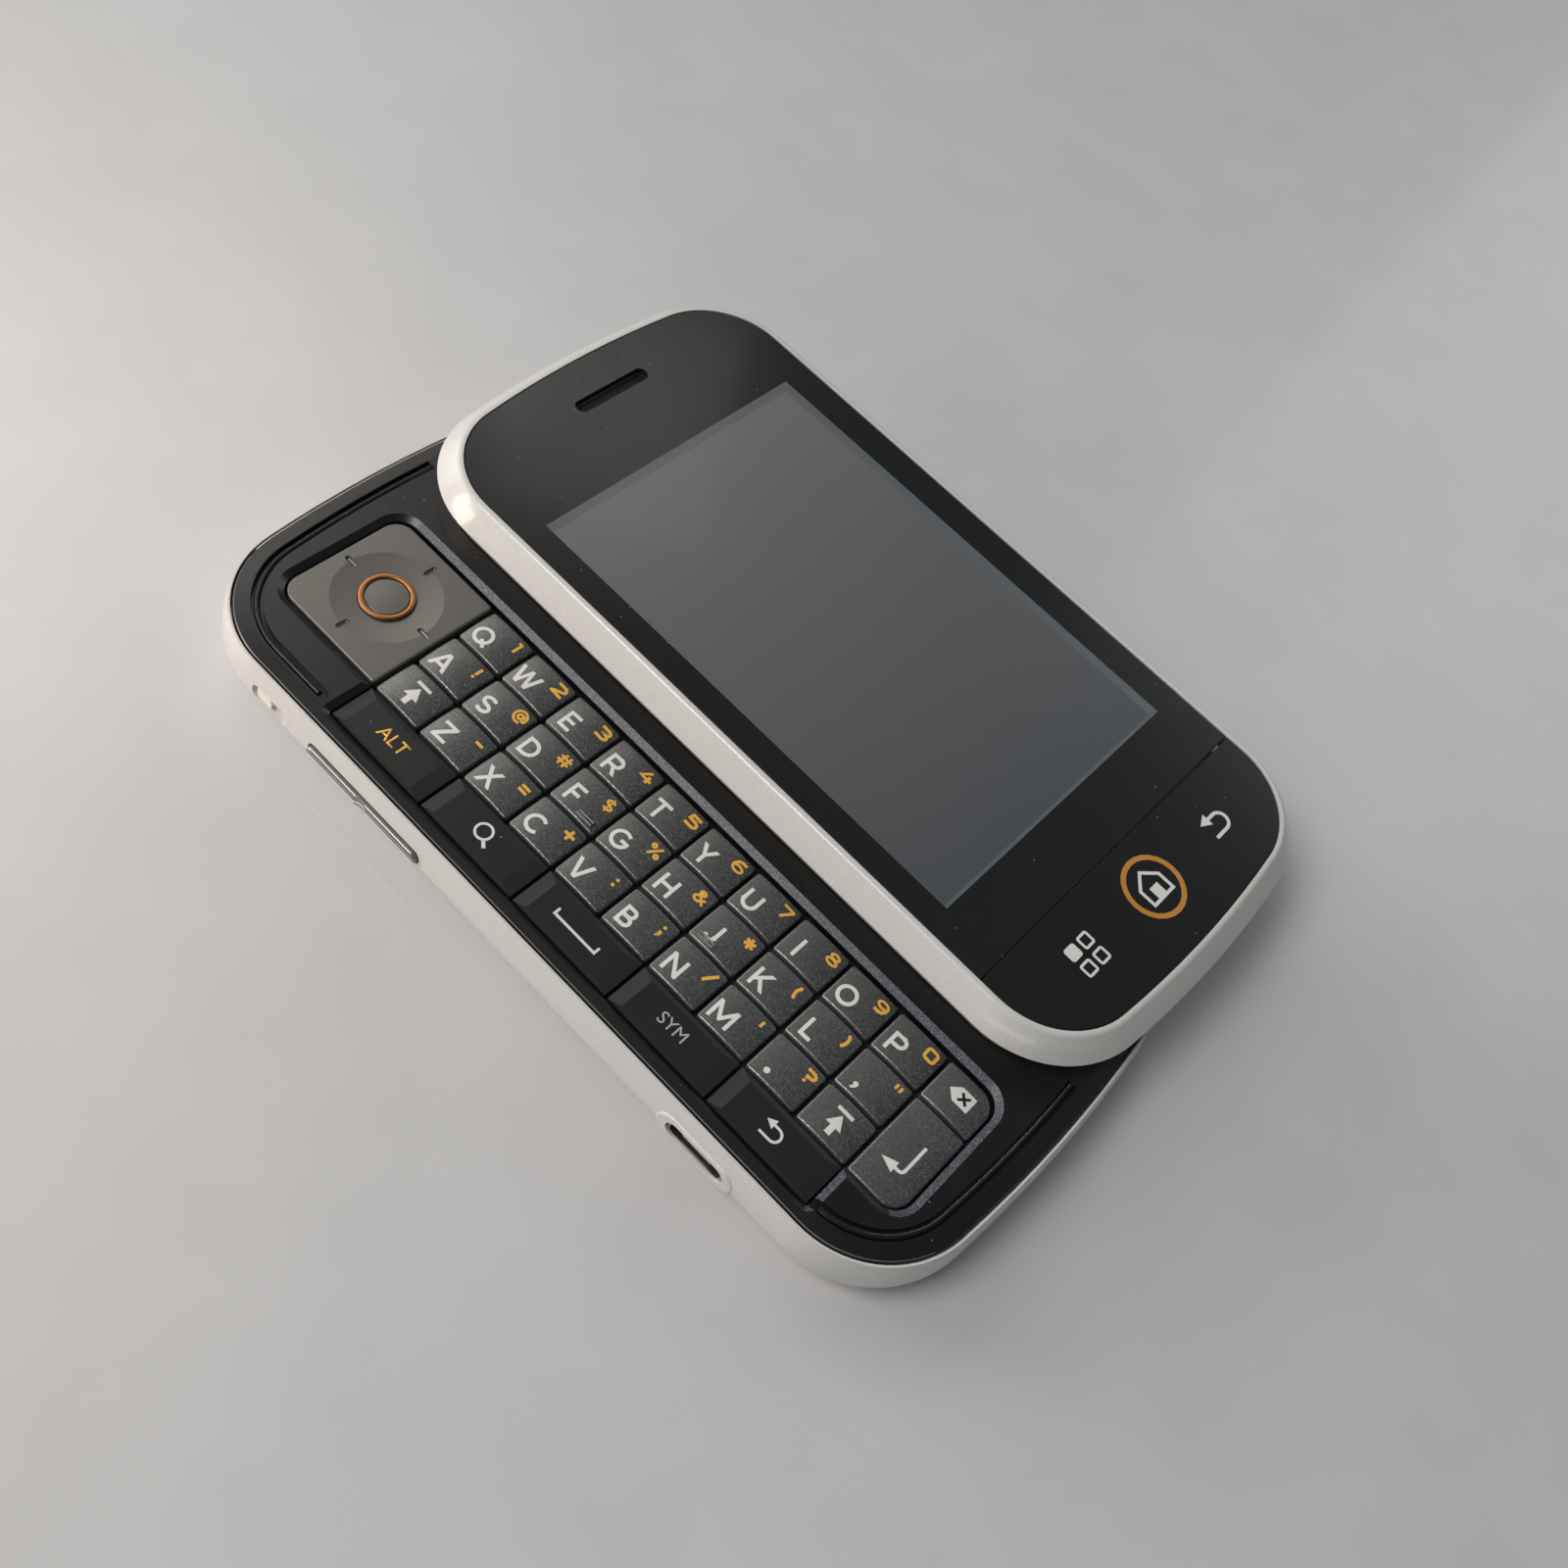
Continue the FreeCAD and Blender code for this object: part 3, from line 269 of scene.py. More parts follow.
paint(sheet_rubber, "keypad_sheet")

# Headset jack and charging socket: black moulded barrel with a gold ring at its mouth, and
# a folded steel shell with gold contacts on its tongue, behind their openings.
black_plastic = detailed_finish(
    "black moulded plastic", {},
    {"Colour": (0.02, 0.02, 0.022, 1), "Dust": 0.2, "Roughness": 0.45, "Grain Depth": 0.4})
shell_steel = detailed_finish(
    "tinned steel shell", {"Metallic": 1.0},
    {"Colour": (0.34, 0.33, 0.31, 1), "Dust": 0.1, "Roughness": 0.3,
     "Roughness Spread": 0.15, "Grain Depth": 0.3})
contact_gold = detailed_finish(
    "gold plated contact", {"Metallic": 1.0},
    {"Colour": (0.80, 0.55, 0.22, 1), "Cloud": 0.05, "Roughness": 0.25})
paint(black_plastic, "headset_jack")
paint(shell_steel, "usb_socket")


def choose(*parts):
    """Selects these objects alone and makes the first one active."""
    bpy.ops.object.select_all(action="DESELECT")
    for part in parts:
        part.select_set(True)
    bpy.context.view_layer.objects.active = parts[0]


def reshape(part, kind, **settings):
    """Adds a modifier with these settings to a part and applies it."""
    choose(part)
    modifier = part.modifiers.new("reshape", kind)
    for setting, value in settings.items():
        setattr(modifier, setting, value)
    bpy.ops.object.modifier_apply(modifier="reshape")


def settle(part, finish, body):
    """Puts the place of a finished piece in its mesh, then paints it and lets it ride."""
    choose(part)
    bpy.ops.object.transform_apply(location=True, rotation=True, scale=True)
    part.data.materials.clear()
    part.data.materials.append(finish)
    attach(part, body)


def keep_border(width):
    """Keeps only a band along the border of the face that is edited."""
    bpy.ops.mesh.select_mode(type="FACE")
    bpy.ops.mesh.select_all(action="SELECT")
    bpy.ops.mesh.inset(thickness=width)
    bpy.ops.mesh.delete(type="FACE")


def tube_ring(name, centre, turn, outer, inner, depth):
    """Flat ring with a wall, from a circle filled, inset and pushed out along its axis."""
    bpy.ops.mesh.primitive_circle_add(
        vertices=48, radius=outer, fill_type="NGON", location=centre, rotation=turn)
    ring = bpy.context.object
    ring.name = name
    bpy.ops.object.mode_set(mode="EDIT")
    keep_border(outer - inner)
    bpy.ops.object.mode_set(mode="OBJECT")
    reshape(ring, "SOLIDIFY", thickness=depth, offset=0.0)
    return ring


jack_mouth = (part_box("headset_jack")[0].x + 0.0012, 0.009, 0.005)
jack_ring = tube_ring("jack_contact_ring", jack_mouth, turn=(0, math.pi / 2, 0),
                      outer=0.00178, inner=0.00150, depth=0.0008)
settle(jack_ring, contact_gold, "keypad_half")

usb_low, usb_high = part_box("usb_socket")
contact_count = 5
contact_pitch = 0.00085
contact_size = (0.00035, 0.0030, 0.00008)
contact_depth = 0.0032
contact_drop = 0.00033
bpy.ops.mesh.primitive_cube_add(size=1.0, location=(0, 0, 0))
contact = bpy.context.object
contact.name = "usb_contacts"
contact.scale = contact_size
bpy.ops.object.transform_apply(location=False, rotation=False, scale=True)
reshape(contact, "ARRAY", count=contact_count, use_relative_offset=False,
        use_constant_offset=True, constant_offset_displace=(contact_pitch, 0, 0))
contact.location = (
    (usb_low.x + usb_high.x) / 2 - (contact_count - 1) / 2 * contact_pitch,
    usb_low.y + contact_depth, (usb_low.z + usb_high.z) / 2 - contact_drop)
settle(contact, contact_gold, "keypad_half")

# Camera: glossy black barrel that looks out through the floor of the housing. A bright
# rim holds its window, and a thin steel ring marks the lens behind it.
camera_glass = detailed_finish(
    "black camera window", {"Coat Weight": 1.0, "Coat Roughness": 0.02},
    {"Colour": (0.008, 0.008, 0.010, 1), "Cloud": 0.05, "Dust": 0.1, "Roughness": 0.08,
     "Roughness Spread": 0.02, "Grain Depth": 0.0})
bright_chrome = detailed_finish(
    "bright chrome", {"Metallic": 1.0},
    {"Colour": (0.82, 0.82, 0.83, 1), "Cloud": 0.04, "Dust": 0.1, "Roughness": 0.14,
     "Roughness Spread": 0.06, "Grain Depth": 0.0})
paint(camera_glass, "camera_module")
camera_centre = (-0.0435, -0.009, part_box("camera_module")[0].z)
no_turn = (0, 0, 0)
camera_rim = tube_ring("camera_rim", camera_centre, no_turn,
                       outer=0.0039, inner=0.0034, depth=0.0003)
settle(camera_rim, bright_chrome, "keypad_half")
lens_ring = tube_ring("camera_lens_ring", camera_centre, no_turn,
                      outer=0.0019, inner=0.0016, depth=0.0002)
settle(lens_ring, shell_steel, "keypad_half")

# Loudspeaker: black basket glued behind the four slots of the housing, so that only its
# moulded front shows through them.
paint(black_plastic, "loudspeaker")

# Keypad bezel: satin black moulding let into the housing rim. Slopes that face its left
# end sparkle, in a bluish tone that is partly their rough finish and partly a painted sky
# reflection. Its outer bevel has a painted cream line at the far left, standing in for the
# white rim's lip and its reflection, and a painted pale highlight on the near side.
panel_black = detailed_finish(
    "satin black panel", {"Coat Weight": 0.10, "Coat Roughness": 0.15},
    {"Colour": (0.007, 0.007, 0.0075, 1), "Fleck Colour": (0.018, 0.02, 0.026, 1),
     "Fleck Share": 0.15, "Fleck Scale": 14000.0, "Cloud": 0.15, "Dust": 0.4,
     "Roughness": 0.34, "Roughness Spread": 0.12, "Grain Depth": 0.4})


def add_slope_finish(finish, steepness, spread, facing, detail_values, lowest=0.0):
    """Second finish for faces of one steepness that turn towards a side, above a height."""
    tree = finish.node_tree
    shader = tree.nodes["Principled BSDF"].inputs
    sloping = calculate(tree, "COMPARE", part_axis(tree, "Normal", "Z"), steepness, spread)
    side = tree.nodes.new("ShaderNodeVectorMath")
    side.operation = "DOT_PRODUCT"
    feed(tree, side.inputs[0], tree.nodes.new("ShaderNodeTexCoord").outputs["Normal"])
    side.inputs[1].default_value = facing
    least_turn = 0.25
    turned = calculate(tree, "GREATER_THAN", side.outputs["Value"], least_turn)
    above = calculate(tree, "GREATER_THAN", part_axis(tree, "Object", "Z"), lowest)
    chosen = calculate(tree, "MULTIPLY", calculate(tree, "MULTIPLY", sloping, turned), above)
    slope = surface_node(tree, detail_values).outputs
    for label, kind, socket in (
            ("Colour", "RGBA", "Base Color"), ("Roughness", "FLOAT", "Roughness"),
            ("Normal", "VECTOR", "Normal")):
        before = shader[socket].links[0].from_socket
        tree.links.new(blend(tree, chosen, before, slope[label], kind), shader[socket])


slope_steepness = 0.82
bevel_steepness = 0.707
# Painted sky reflection: slopes that face the left end get a rough, bluish sparkling tone.
add_slope_finish(
    panel_black, slope_steepness, spread=0.09, facing=(-2.25, -0.75, 0),
    detail_values={
        "Colour": (0.024, 0.027, 0.036, 1), "Fleck Colour": (0.13, 0.15, 0.195, 1),
        "Fleck Share": 0.55, "Fleck Scale": 9000.0, "Dust": 0.2, "Roughness": 0.50,
        "Grain Scale": 9000.0, "Grain Depth": 1.0})
# Painted line: the far-left bevel is coloured cream, standing in for the white rim's lip and its
# reflection there.
add_slope_finish(
    panel_black, bevel_steepness, spread=0.015, facing=(-0.6, 0.8, 0),
    detail_values={"Colour": (0.80, 0.75, 0.60, 1), "Cloud": 0.05, "Grain Depth": 0.1})
panel_fall = 0.000222
highlight_line_width = 0.00006
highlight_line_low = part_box("keypad_bezel")[1].z - panel_fall - highlight_line_width
# Painted highlight: a thin pale line along the top of the near bevel.
add_slope_finish(
    panel_black, bevel_steepness, spread=0.015, facing=(0, -1, 0), lowest=highlight_line_low,
    detail_values={"Colour": (0.22, 0.22, 0.22, 1), "Cloud": 0.05, "Grain Depth": 0.1})
paint(panel_black, "keypad_bezel")

# Navigation pad and its middle key: satin grey lacquer like the letter keys, and a copper
# ring that is plated on the rim of the middle key.
shaded_grey_lacquer = detailed_finish(
    "dark grey metal lacquer with painted shade", {"Metallic": 0.55},
    {"Fleck Colour": (0.27, 0.28, 0.29, 1), "Fleck Share": 0.35, "Fleck Scale": 11000.0,
     "Dust": 0.4, "Roughness": 0.32, "Roughness Spread": 0.08})
copper_plate = detailed_finish(
    "copper plate", {"Metallic": 1.0},
    {"Colour": (0.52, 0.22, 0.075, 1), "Cloud": 0.05, "Roughness": 0.34,
     "Roughness Spread": 0.04, "Grain Depth": 0.0})
pad_lacquer = detailed_finish(
    "satin grey pad lacquer", {"Metallic": 0.55},
    {"Colour": (0.165, 0.160, 0.148, 1), "Fleck Colour": (0.22, 0.215, 0.205, 1),
     "Fleck Share": 0.2, "Fleck Scale": 14000.0, "Cloud": 0.04, "Dust": 0.5,
     "Roughness": 0.33, "Roughness Spread": 0.04, "Grain Depth": 0.25})
paint(pad_lacquer, "nav_pad", "nav_ok")
ok_low, ok_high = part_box("nav_ok")
ring_sink = 0.00006
ring_centre = (
    (ok_low.x + ok_high.x) / 2, (ok_low.y + ok_high.y) / 2, ok_high.z - ring_sink)
copper_ring = tube_ring("nav_copper_ring", ring_centre, no_turn,
                        outer=0.0033, inner=0.0027, depth=0.0003)
reshape(copper_ring, "BEVEL", width=0.00012, segments=3)
bpy.ops.object.shade_smooth_by_angle(angle=math.radians(40))
settle(copper_ring, copper_plate, "nav_ok")

# Letter keys: 28 grey caps, each painted lighter at its left and darker to the right as
# painted light and shade, printed white with the letter and amber with the second sign.
# The print is a thin film that follows the crown.


def matt_print(name, colour, cloud=0.06):
    """Printing ink of one colour."""
    return detailed_finish(
        name, {}, {"Colour": colour, "Cloud": cloud, "Roughness": 0.42, "Grain Depth": 0.2})


white_print = matt_print("white print", (0.72, 0.72, 0.70, 1))
amber_print = matt_print("amber print", (0.90, 0.48, 0.08, 1))
first_column = -0.0321725
column_pitch = 0.007395
# Painted light and shade: each key is lighter at its left and darker at its right.
key_lit_side = (0.175, 0.173, 0.165, 1)
key_shaded_side = (0.070, 0.073, 0.078, 1)
key_tree = shaded_grey_lacquer.node_tree
past_start = calculate(key_tree, "SUBTRACT", part_axis(key_tree, "Object", "X"), first_column)
columns_along = calculate(key_tree, "DIVIDE", past_start, column_pitch)
across_key = calculate(key_tree, "FRACT", columns_along)
feed(key_tree, key_tree.nodes["detail"].inputs["Colour"],
     blend(key_tree, across_key, key_lit_side, key_shaded_side))
first_row = -0.001915
row_pitch = 0.00602
film_height = 0.000015
film_depth = 0.00004


def polygon_mark(points, line=0.0, corner=0.0):
    """Flat shape through corner points; with a line width it is only the outline."""
    bpy.ops.mesh.primitive_circle_add(vertices=len(points), radius=1.0, fill_type="NGON")
    shape = bpy.context.object
    for vertex, point in zip(shape.data.vertices, points):
        vertex.co = (point[0], point[1], 0)
    if shape.data.polygons[0].normal.z < 0:
        shape.data.flip_normals()
    bpy.ops.object.mode_set(mode="EDIT")
    bpy.ops.mesh.select_all(action="SELECT")
    if corner:
        bpy.ops.mesh.bevel(affect="VERTICES", offset=corner, segments=4)
    if line:
        keep_border(line)
    bpy.ops.object.mode_set(mode="OBJECT")
    return shape


def stroke_mark(points, width):
    """Stroke of even width through a row of points, with mitred turns."""
    longest_mitre = 1.6
    path = [Vector(point) for point in points]
    left = []
    right = []
    for index, point in enumerate(path):
        before = (point - path[max(index - 1, 0)]).normalized()
        after = (path[min(index + 1, len(path) - 1)] - point).normalized()
        heading = (before + after).normalized()
        leg = after if index == 0 else before
        stretch = min(longest_mitre, 1 / max(0.1, heading.dot(leg)))
        side = Vector((-heading.y, heading.x)) * width / 2 * stretch
        left.append(point + side)
        right.append(point - side)
    return polygon_mark(left + right[::-1])


def box_mark(low_x, high_x, low_y, high_y, line=0.0, corner=0.0):
    """Upright rectangle of the print, filled or only its outline."""
    corners = ((low_x, low_y), (high_x, low_y), (high_x, high_y), (low_x, high_y))
    return polygon_mark(corners, line, corner)


def curve(centre_x, centre_y, reach_x, reach_y, start, end, steps=10):
    """Points on an ellipse from one angle to another, in degrees."""
    angles = [math.radians(start + (end - start) * step / steps)
              for step in range(steps + 1)]
    return tuple((centre_x + reach_x * math.cos(angle),
                  centre_y + reach_y * math.sin(angle)) for angle in angles)


def oval(centre_x, centre_y, reach_x, reach_y):
    """Points all round an ellipse."""
    return curve(centre_x, centre_y, reach_x, reach_y, 0, 345, 23)


def dot(centre_x, centre_y, radius):
    """Points all round a small circle."""
    return curve(centre_x, centre_y, radius, radius, 0, 330, 11)


def one_mark(*marks):
    """Joins the strokes of one sign."""
    choose(*marks)
    bpy.ops.object.join()
    return marks[0]


def letters(text, centre_x, base_y, cap_height, weight):
    """Flat lettering, turned into a mesh, centred on one column and standing on a line."""
    cap_share = 0.682
    bpy.ops.object.text_add(location=(0, 0, 0))
    mark = bpy.context.object
    mark.data.body = text
    mark.data.size = cap_height / cap_share
    mark.data.offset = weight
    mark.data.resolution_u = 5
    bpy.ops.object.convert(target="MESH")
    mark = bpy.context.object
    across = [vertex.co.x for vertex in mark.data.vertices]
    mark.location = (centre_x - (min(across) + max(across)) / 2, base_y, 0)
    bpy.ops.object.transform_apply(location=True)
    return mark


# The signs are drawn for a cap height of 1. "fill" is a solid shape, "ring" a closed one
# of which only the line is printed, and "line" a stroke down the middle of its points;
# the fine ones have four fifths of the line.
stem = ("fill", ((0, 0), (0.175, 0), (0.175, 1), (0, 1)))
bowl = ("line", ((0.175, 0.91), (0.48, 0.91)) + curve(0.48, 0.67, 0.25, 0.24, 90, -90)
        + ((0.175, 0.43),))
round_letter = ("ring", oval(0.51, 0.5, 0.51, 0.51))
signs = {
    "A": (("fill", ((0, 0), (0.2, 0), (0.5, 0.78), (0.8, 0), (1, 0), (0.61, 1),
                    (0.39, 1))),
          ("line", ((0.24, 0.29), (0.76, 0.29)))),
    "B": (("ring", ((0, 0.42), (0.42, 0.42)) + curve(0.42, 0.71, 0.28, 0.29, -90, 90)
           + ((0, 1),)),
          ("ring", ((0, 0), (0.45, 0)) + curve(0.45, 0.29, 0.31, 0.29, -90, 90)
           + ((0, 0.58),))),
    "C": (("line", curve(0.51, 0.5, 0.42, 0.42, 45, 315, 20)),),
    "D": (("ring", ((0, 0), (0.35, 0)) + curve(0.35, 0.5, 0.52, 0.5, -90, 90, 16)
           + ((0, 1),)),),
    "E": (stem, ("line", ((0.175, 0.92), (0.68, 0.92))),
          ("line", ((0.175, 0.5), (0.62, 0.5))), ("line", ((0.175, 0.08), (0.68, 0.08)))),
    "F": (stem, ("line", ((0.175, 0.92), (0.66, 0.92))),
          ("line", ((0.175, 0.48), (0.6, 0.48)))),
    "G": (("line", curve(0.51, 0.5, 0.42, 0.42, 48, 340, 20)
           + ((0.91, 0.46), (0.56, 0.46))),),
    "H": (stem, ("fill", ((0.68, 0), (0.855, 0), (0.855, 1), (0.68, 1))),
          ("line", ((0.175, 0.5), (0.68, 0.5)))),
    "I": (stem,),
    "J": (("line", ((0.46, 1), (0.46, 0.31)) + curve(0.235, 0.31, 0.225, 0.22, 0, -165)),),
    "K": (stem, ("fill", ((0.175, 0.28), (0.31, 0.4), (0.65, 0), (0.87, 0), (0.43, 0.53),
                          (0.84, 1), (0.61, 1), (0.175, 0.5)))),
    "L": (stem, ("line", ((0.175, 0.08), (0.62, 0.08)))),
    "M": (("fill", ((0, 0), (0.175, 0), (0.175, 0.66), (0.5, 0.13), (0.6, 0.13),
                    (0.925, 0.66), (0.925, 0), (1.1, 0), (1.1, 1), (0.93, 1),
                    (0.55, 0.38), (0.17, 1), (0, 1))),),
    "N": (("fill", ((0, 0), (0.175, 0), (0.175, 0.7), (0.705, 0), (0.875, 0), (0.875, 1),
                    (0.7, 1), (0.7, 0.3), (0.17, 1), (0, 1))),),
    "O": (round_letter,),
    "P": (stem, bowl),
    "Q": (round_letter, ("line", ((0.6, 0.32), (0.96, 0)))),
    "R": (stem, bowl, ("fill", ((0.36, 0.4), (0.64, 0), (0.86, 0), (0.57, 0.4)))),
    "S": (("line", curve(0.37, 0.705, 0.29, 0.21, 35, 270, 14)
           + curve(0.37, 0.295, 0.3, 0.21, 90, -145, 14)),),
    "T": (("line", ((0, 0.92), (0.82, 0.92))), ("line", ((0.41, 0.83), (0.41, 0)))),
    "U": (("line", ((0.09, 1), (0.09, 0.4)) + curve(0.42, 0.4, 0.33, 0.31, 180, 360, 12)
           + ((0.75, 1),)),),
    "V": (("fill", ((0.38, 0), (0.58, 0), (0.96, 1), (0.76, 1), (0.48, 0.22), (0.2, 1),
                    (0, 1))),),
    "W": (("fill", ((0.28, 0), (0.47, 0), (0.65, 0.66), (0.83, 0), (1.02, 0), (1.3, 1),
                    (1.11, 1), (0.92, 0.3), (0.73, 1), (0.57, 1), (0.38, 0.3),
                    (0.19, 1), (0, 1))),),
    "X": (("fill", ((0, 0), (0.22, 0), (0.47, 0.36), (0.72, 0), (0.94, 0), (0.58, 0.51),
                    (0.92, 1), (0.7, 1), (0.47, 0.66), (0.24, 1), (0.02, 1),
                    (0.36, 0.51))),),
    "Y": (("fill", ((0.37, 0), (0.55, 0), (0.55, 0.43), (0.92, 1), (0.7, 1), (0.46, 0.6),
                    (0.22, 1), (0, 1), (0.37, 0.43))),),
    "Z": (("fill", ((0, 0), (0.82, 0), (0.82, 0.165), (0.27, 0.165), (0.8, 0.86), (0.8, 1),
                    (0, 1), (0, 0.835), (0.53, 0.835), (0, 0.14))),),
    "0": (("ring", curve(0.7, 0.7, 0.3, 0.3, 0, 90, 5) + curve(0.3, 0.7, 0.3, 0.3, 90, 180, 5)
           + curve(0.3, 0.3, 0.3, 0.3, 180, 270, 5)
           + curve(0.7, 0.3, 0.3, 0.3, 270, 360, 5)),),
    "1": (("fill", ((0.17, 0), (0.37, 0), (0.37, 1), (0, 1), (0, 0.83), (0.17, 0.83))),),
    "2": (("line", ((0.06, 0.91), (0.66, 0.91)) + curve(0.66, 0.69, 0.24, 0.22, 90, -40)
           + ((0.16, 0.17),)), ("line", ((0, 0.09), (1, 0.09)))),
    "3": (("line", ((0.04, 0.91), (0.62, 0.91)) + curve(0.62, 0.71, 0.27, 0.2, 90, -90)
           + ((0.3, 0.51),)),
          ("line", ((0.3, 0.51), (0.62, 0.51)) + curve(0.62, 0.3, 0.3, 0.21, 90, -90)
           + ((0.04, 0.09),))),
    "4": (("line", ((0.64, 0.96), (0.12, 0.3), (1, 0.3))),
          ("line", ((0.7, 0), (0.7, 0.62)))),
    "5": (("line", ((0.92, 0.91), (0.2, 0.91), (0.15, 0.56), (0.6, 0.56))
           + curve(0.6, 0.325, 0.3, 0.235, 90, -90) + ((0.04, 0.09),)),),
    "6": (("fine ring", oval(0.48, 0.32, 0.48, 0.32)),
          ("line", ((0.85, 0.91), (0.52, 0.91)) + curve(0.52, 0.36, 0.43, 0.55, 90, 180))),
    "7": (("fill", ((0.2, 0), (0.42, 0), (0.92, 0.82), (0.92, 1), (0, 1), (0, 0.82),
                    (0.68, 0.82))),),
    "8": (("fine ring", oval(0.48, 0.73, 0.41, 0.27)),
          ("fine ring", oval(0.48, 0.29, 0.48, 0.29))),
    "9": (("fine ring", oval(0.48, 0.68, 0.48, 0.32)),
          ("line", ((0.11, 0.09), (0.44, 0.09)) + curve(0.44, 0.64, 0.43, 0.55, -90, 0))),
    "!": (("fill", ((0, 0.34), (0.2, 0.34), (0.2, 1), (0, 1))),
          ("fill", dot(0.1, 0.11, 0.12))),
    "#": (("fine line", ((0, 0.33), (0.95, 0.33))), ("fine line", ((0.06, 0.67), (1, 0.67))),
          ("fine line", ((0.28, 0), (0.36, 1))), ("fine line", ((0.66, 0), (0.74, 1)))),
    "$": (("fine line", curve(0.37, 0.69, 0.29, 0.18, 35, 270, 14)
           + curve(0.37, 0.31, 0.3, 0.18, 90, -145, 14)),
          ("fill", ((0.31, -0.1), (0.43, -0.1), (0.43, 1.1), (0.31, 1.1)))),
    "%": (("fine ring", oval(0.22, 0.77, 0.22, 0.23)),
          ("fine ring", oval(0.84, 0.23, 0.22, 0.23)),
          ("fine line", ((0.22, 0), (0.84, 1)))),
    "@": (("fine line", curve(0.5, 0.5, 0.46, 0.5, -55, -360, 24) + ((0.96, 0.42),)
           + curve(0.85, 0.4, 0.1, 0.12, 0, -180, 6)),
          ("fine ring", oval(0.5, 0.5, 0.27, 0.29)),
          ("fine line", ((0.74, 0.78), (0.74, 0.34)))),
    "&": (("fine line", ((0.94, 0.03), (0.26, 0.66)) + curve(0.43, 0.77, 0.2, 0.17, 210, -45, 12)
           + ((0.2, 0.42),) + curve(0.37, 0.26, 0.27, 0.2, 140, 300, 8) + ((0.9, 0.52),)),),
    "*": (("line", ((0.4, 0.16), (0.4, 1))), ("line", ((0.04, 0.37), (0.76, 0.79))),
          ("line", ((0.04, 0.79), (0.76, 0.37)))),
    "(": (("line", curve(0.6, 0.5, 0.5, 0.66, 130, 230)),),
    ")": (("line", curve(-0.1, 0.5, 0.5, 0.66, 50, -50)),),
    '"': (("fill", ((0, 0.58), (0.2, 0.58), (0.22, 1), (0.02, 1))),
          ("fill", ((0.34, 0.58), (0.54, 0.58), (0.56, 1), (0.36, 1)))),
    "-": (("line", ((0, 0.45), (0.6, 0.45))),),
    "=": (("line", ((0, 0.3), (0.72, 0.3))), ("line", ((0, 0.66), (0.72, 0.66)))),
    "+": (("line", ((0, 0.48), (0.84, 0.48))), ("line", ((0.42, 0.06), (0.42, 0.9)))),
    ":": (("fill", dot(0.13, 0.2, 0.13)), ("fill", dot(0.13, 0.68, 0.13))),
    ";": (("fill", ((0, -0.2), (0.12, -0.2), (0.31, 0.06), (0.31, 0.32), (0.05, 0.32),
                    (0.05, 0.08), (0.14, 0.08))),
          ("fill", dot(0.18, 0.68, 0.13))),
    "/": (("line", ((0, -0.02), (0.62, 0.98))),),
    "'": (("fill", ((0, 0.52), (0.2, 0.52), (0.22, 1), (0.02, 1))),),
    "?": (("line", ((0.05, 0.91), (0.56, 0.91)) + curve(0.56, 0.69, 0.25, 0.2, 90, -90)
           + ((0.34, 0.49), (0.34, 0.3))),
          ("fill", dot(0.34, 0.11, 0.12))),
    ",": (("fill", ((0, -0.06), (0.12, -0.08), (0.26, 0.08), (0.29, 0.24), (0.16, 0.32),
                    (0.02, 0.22), (0.1, 0.08))),),
    ".": (("fill", dot(0.14, 0.14, 0.145)),)}


fine_share = 0.8


def sign_mark(sign, centre_x, base_y, cap_height, line):
    """One drawn sign at its size and place; the line is a share of the cap height."""
    reach = [x for kind, points in signs[sign] for x, y in points]
    shift = centre_x - (min(reach) + max(reach)) / 2 * cap_height
    parts = []
    for kind, points in signs[sign]:
        placed = [(shift + x * cap_height, base_y + y * cap_height) for x, y in points]
        width = line * cap_height * (fine_share if "fine" in kind else 1)
        if "line" in kind:
            parts.append(stroke_mark(placed, width))
        else:
            parts.append(polygon_mark(placed, width if "ring" in kind else 0))
    return one_mark(*parts)


def press_on(mark, node, name, finish, lift=film_height):
    """Lays a flat mark on the top of a key as a thin printed film that rides with it."""
    mark.name = name
    choose(mark)
    bpy.ops.object.mode_set(mode="EDIT")
    bpy.ops.mesh.select_all(action="SELECT")
    bpy.ops.mesh.remove_doubles(threshold=0.000001)
    corners = [tuple(vertex.co) for vertex in mark.data.vertices]
    strips = 6
    clearance = 0.001
    for axis, direction in enumerate(((1, 0, 0), (0, 1, 0))):
        start = min(corner[axis] for corner in corners)
        reach = max(corner[axis] for corner in corners) - start
        for step in range(1, strips):
            cut = start + reach * step / strips
            bpy.ops.mesh.select_all(action="SELECT")
            bpy.ops.mesh.bisect(
                plane_co=[cut * share for share in direction], plane_no=direction)
    bpy.ops.object.mode_set(mode="OBJECT")
    mark.location.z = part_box(node)[1].z + clearance
    bpy.ops.object.transform_apply(location=True)
    reshape(mark, "SHRINKWRAP", target=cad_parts[node], wrap_method="PROJECT",
            use_project_z=True, use_negative_direction=True, use_positive_direction=False,
            offset=lift)
    reshape(mark, "SOLIDIFY", thickness=film_depth, offset=-1.0)
    settle(mark, finish, node)


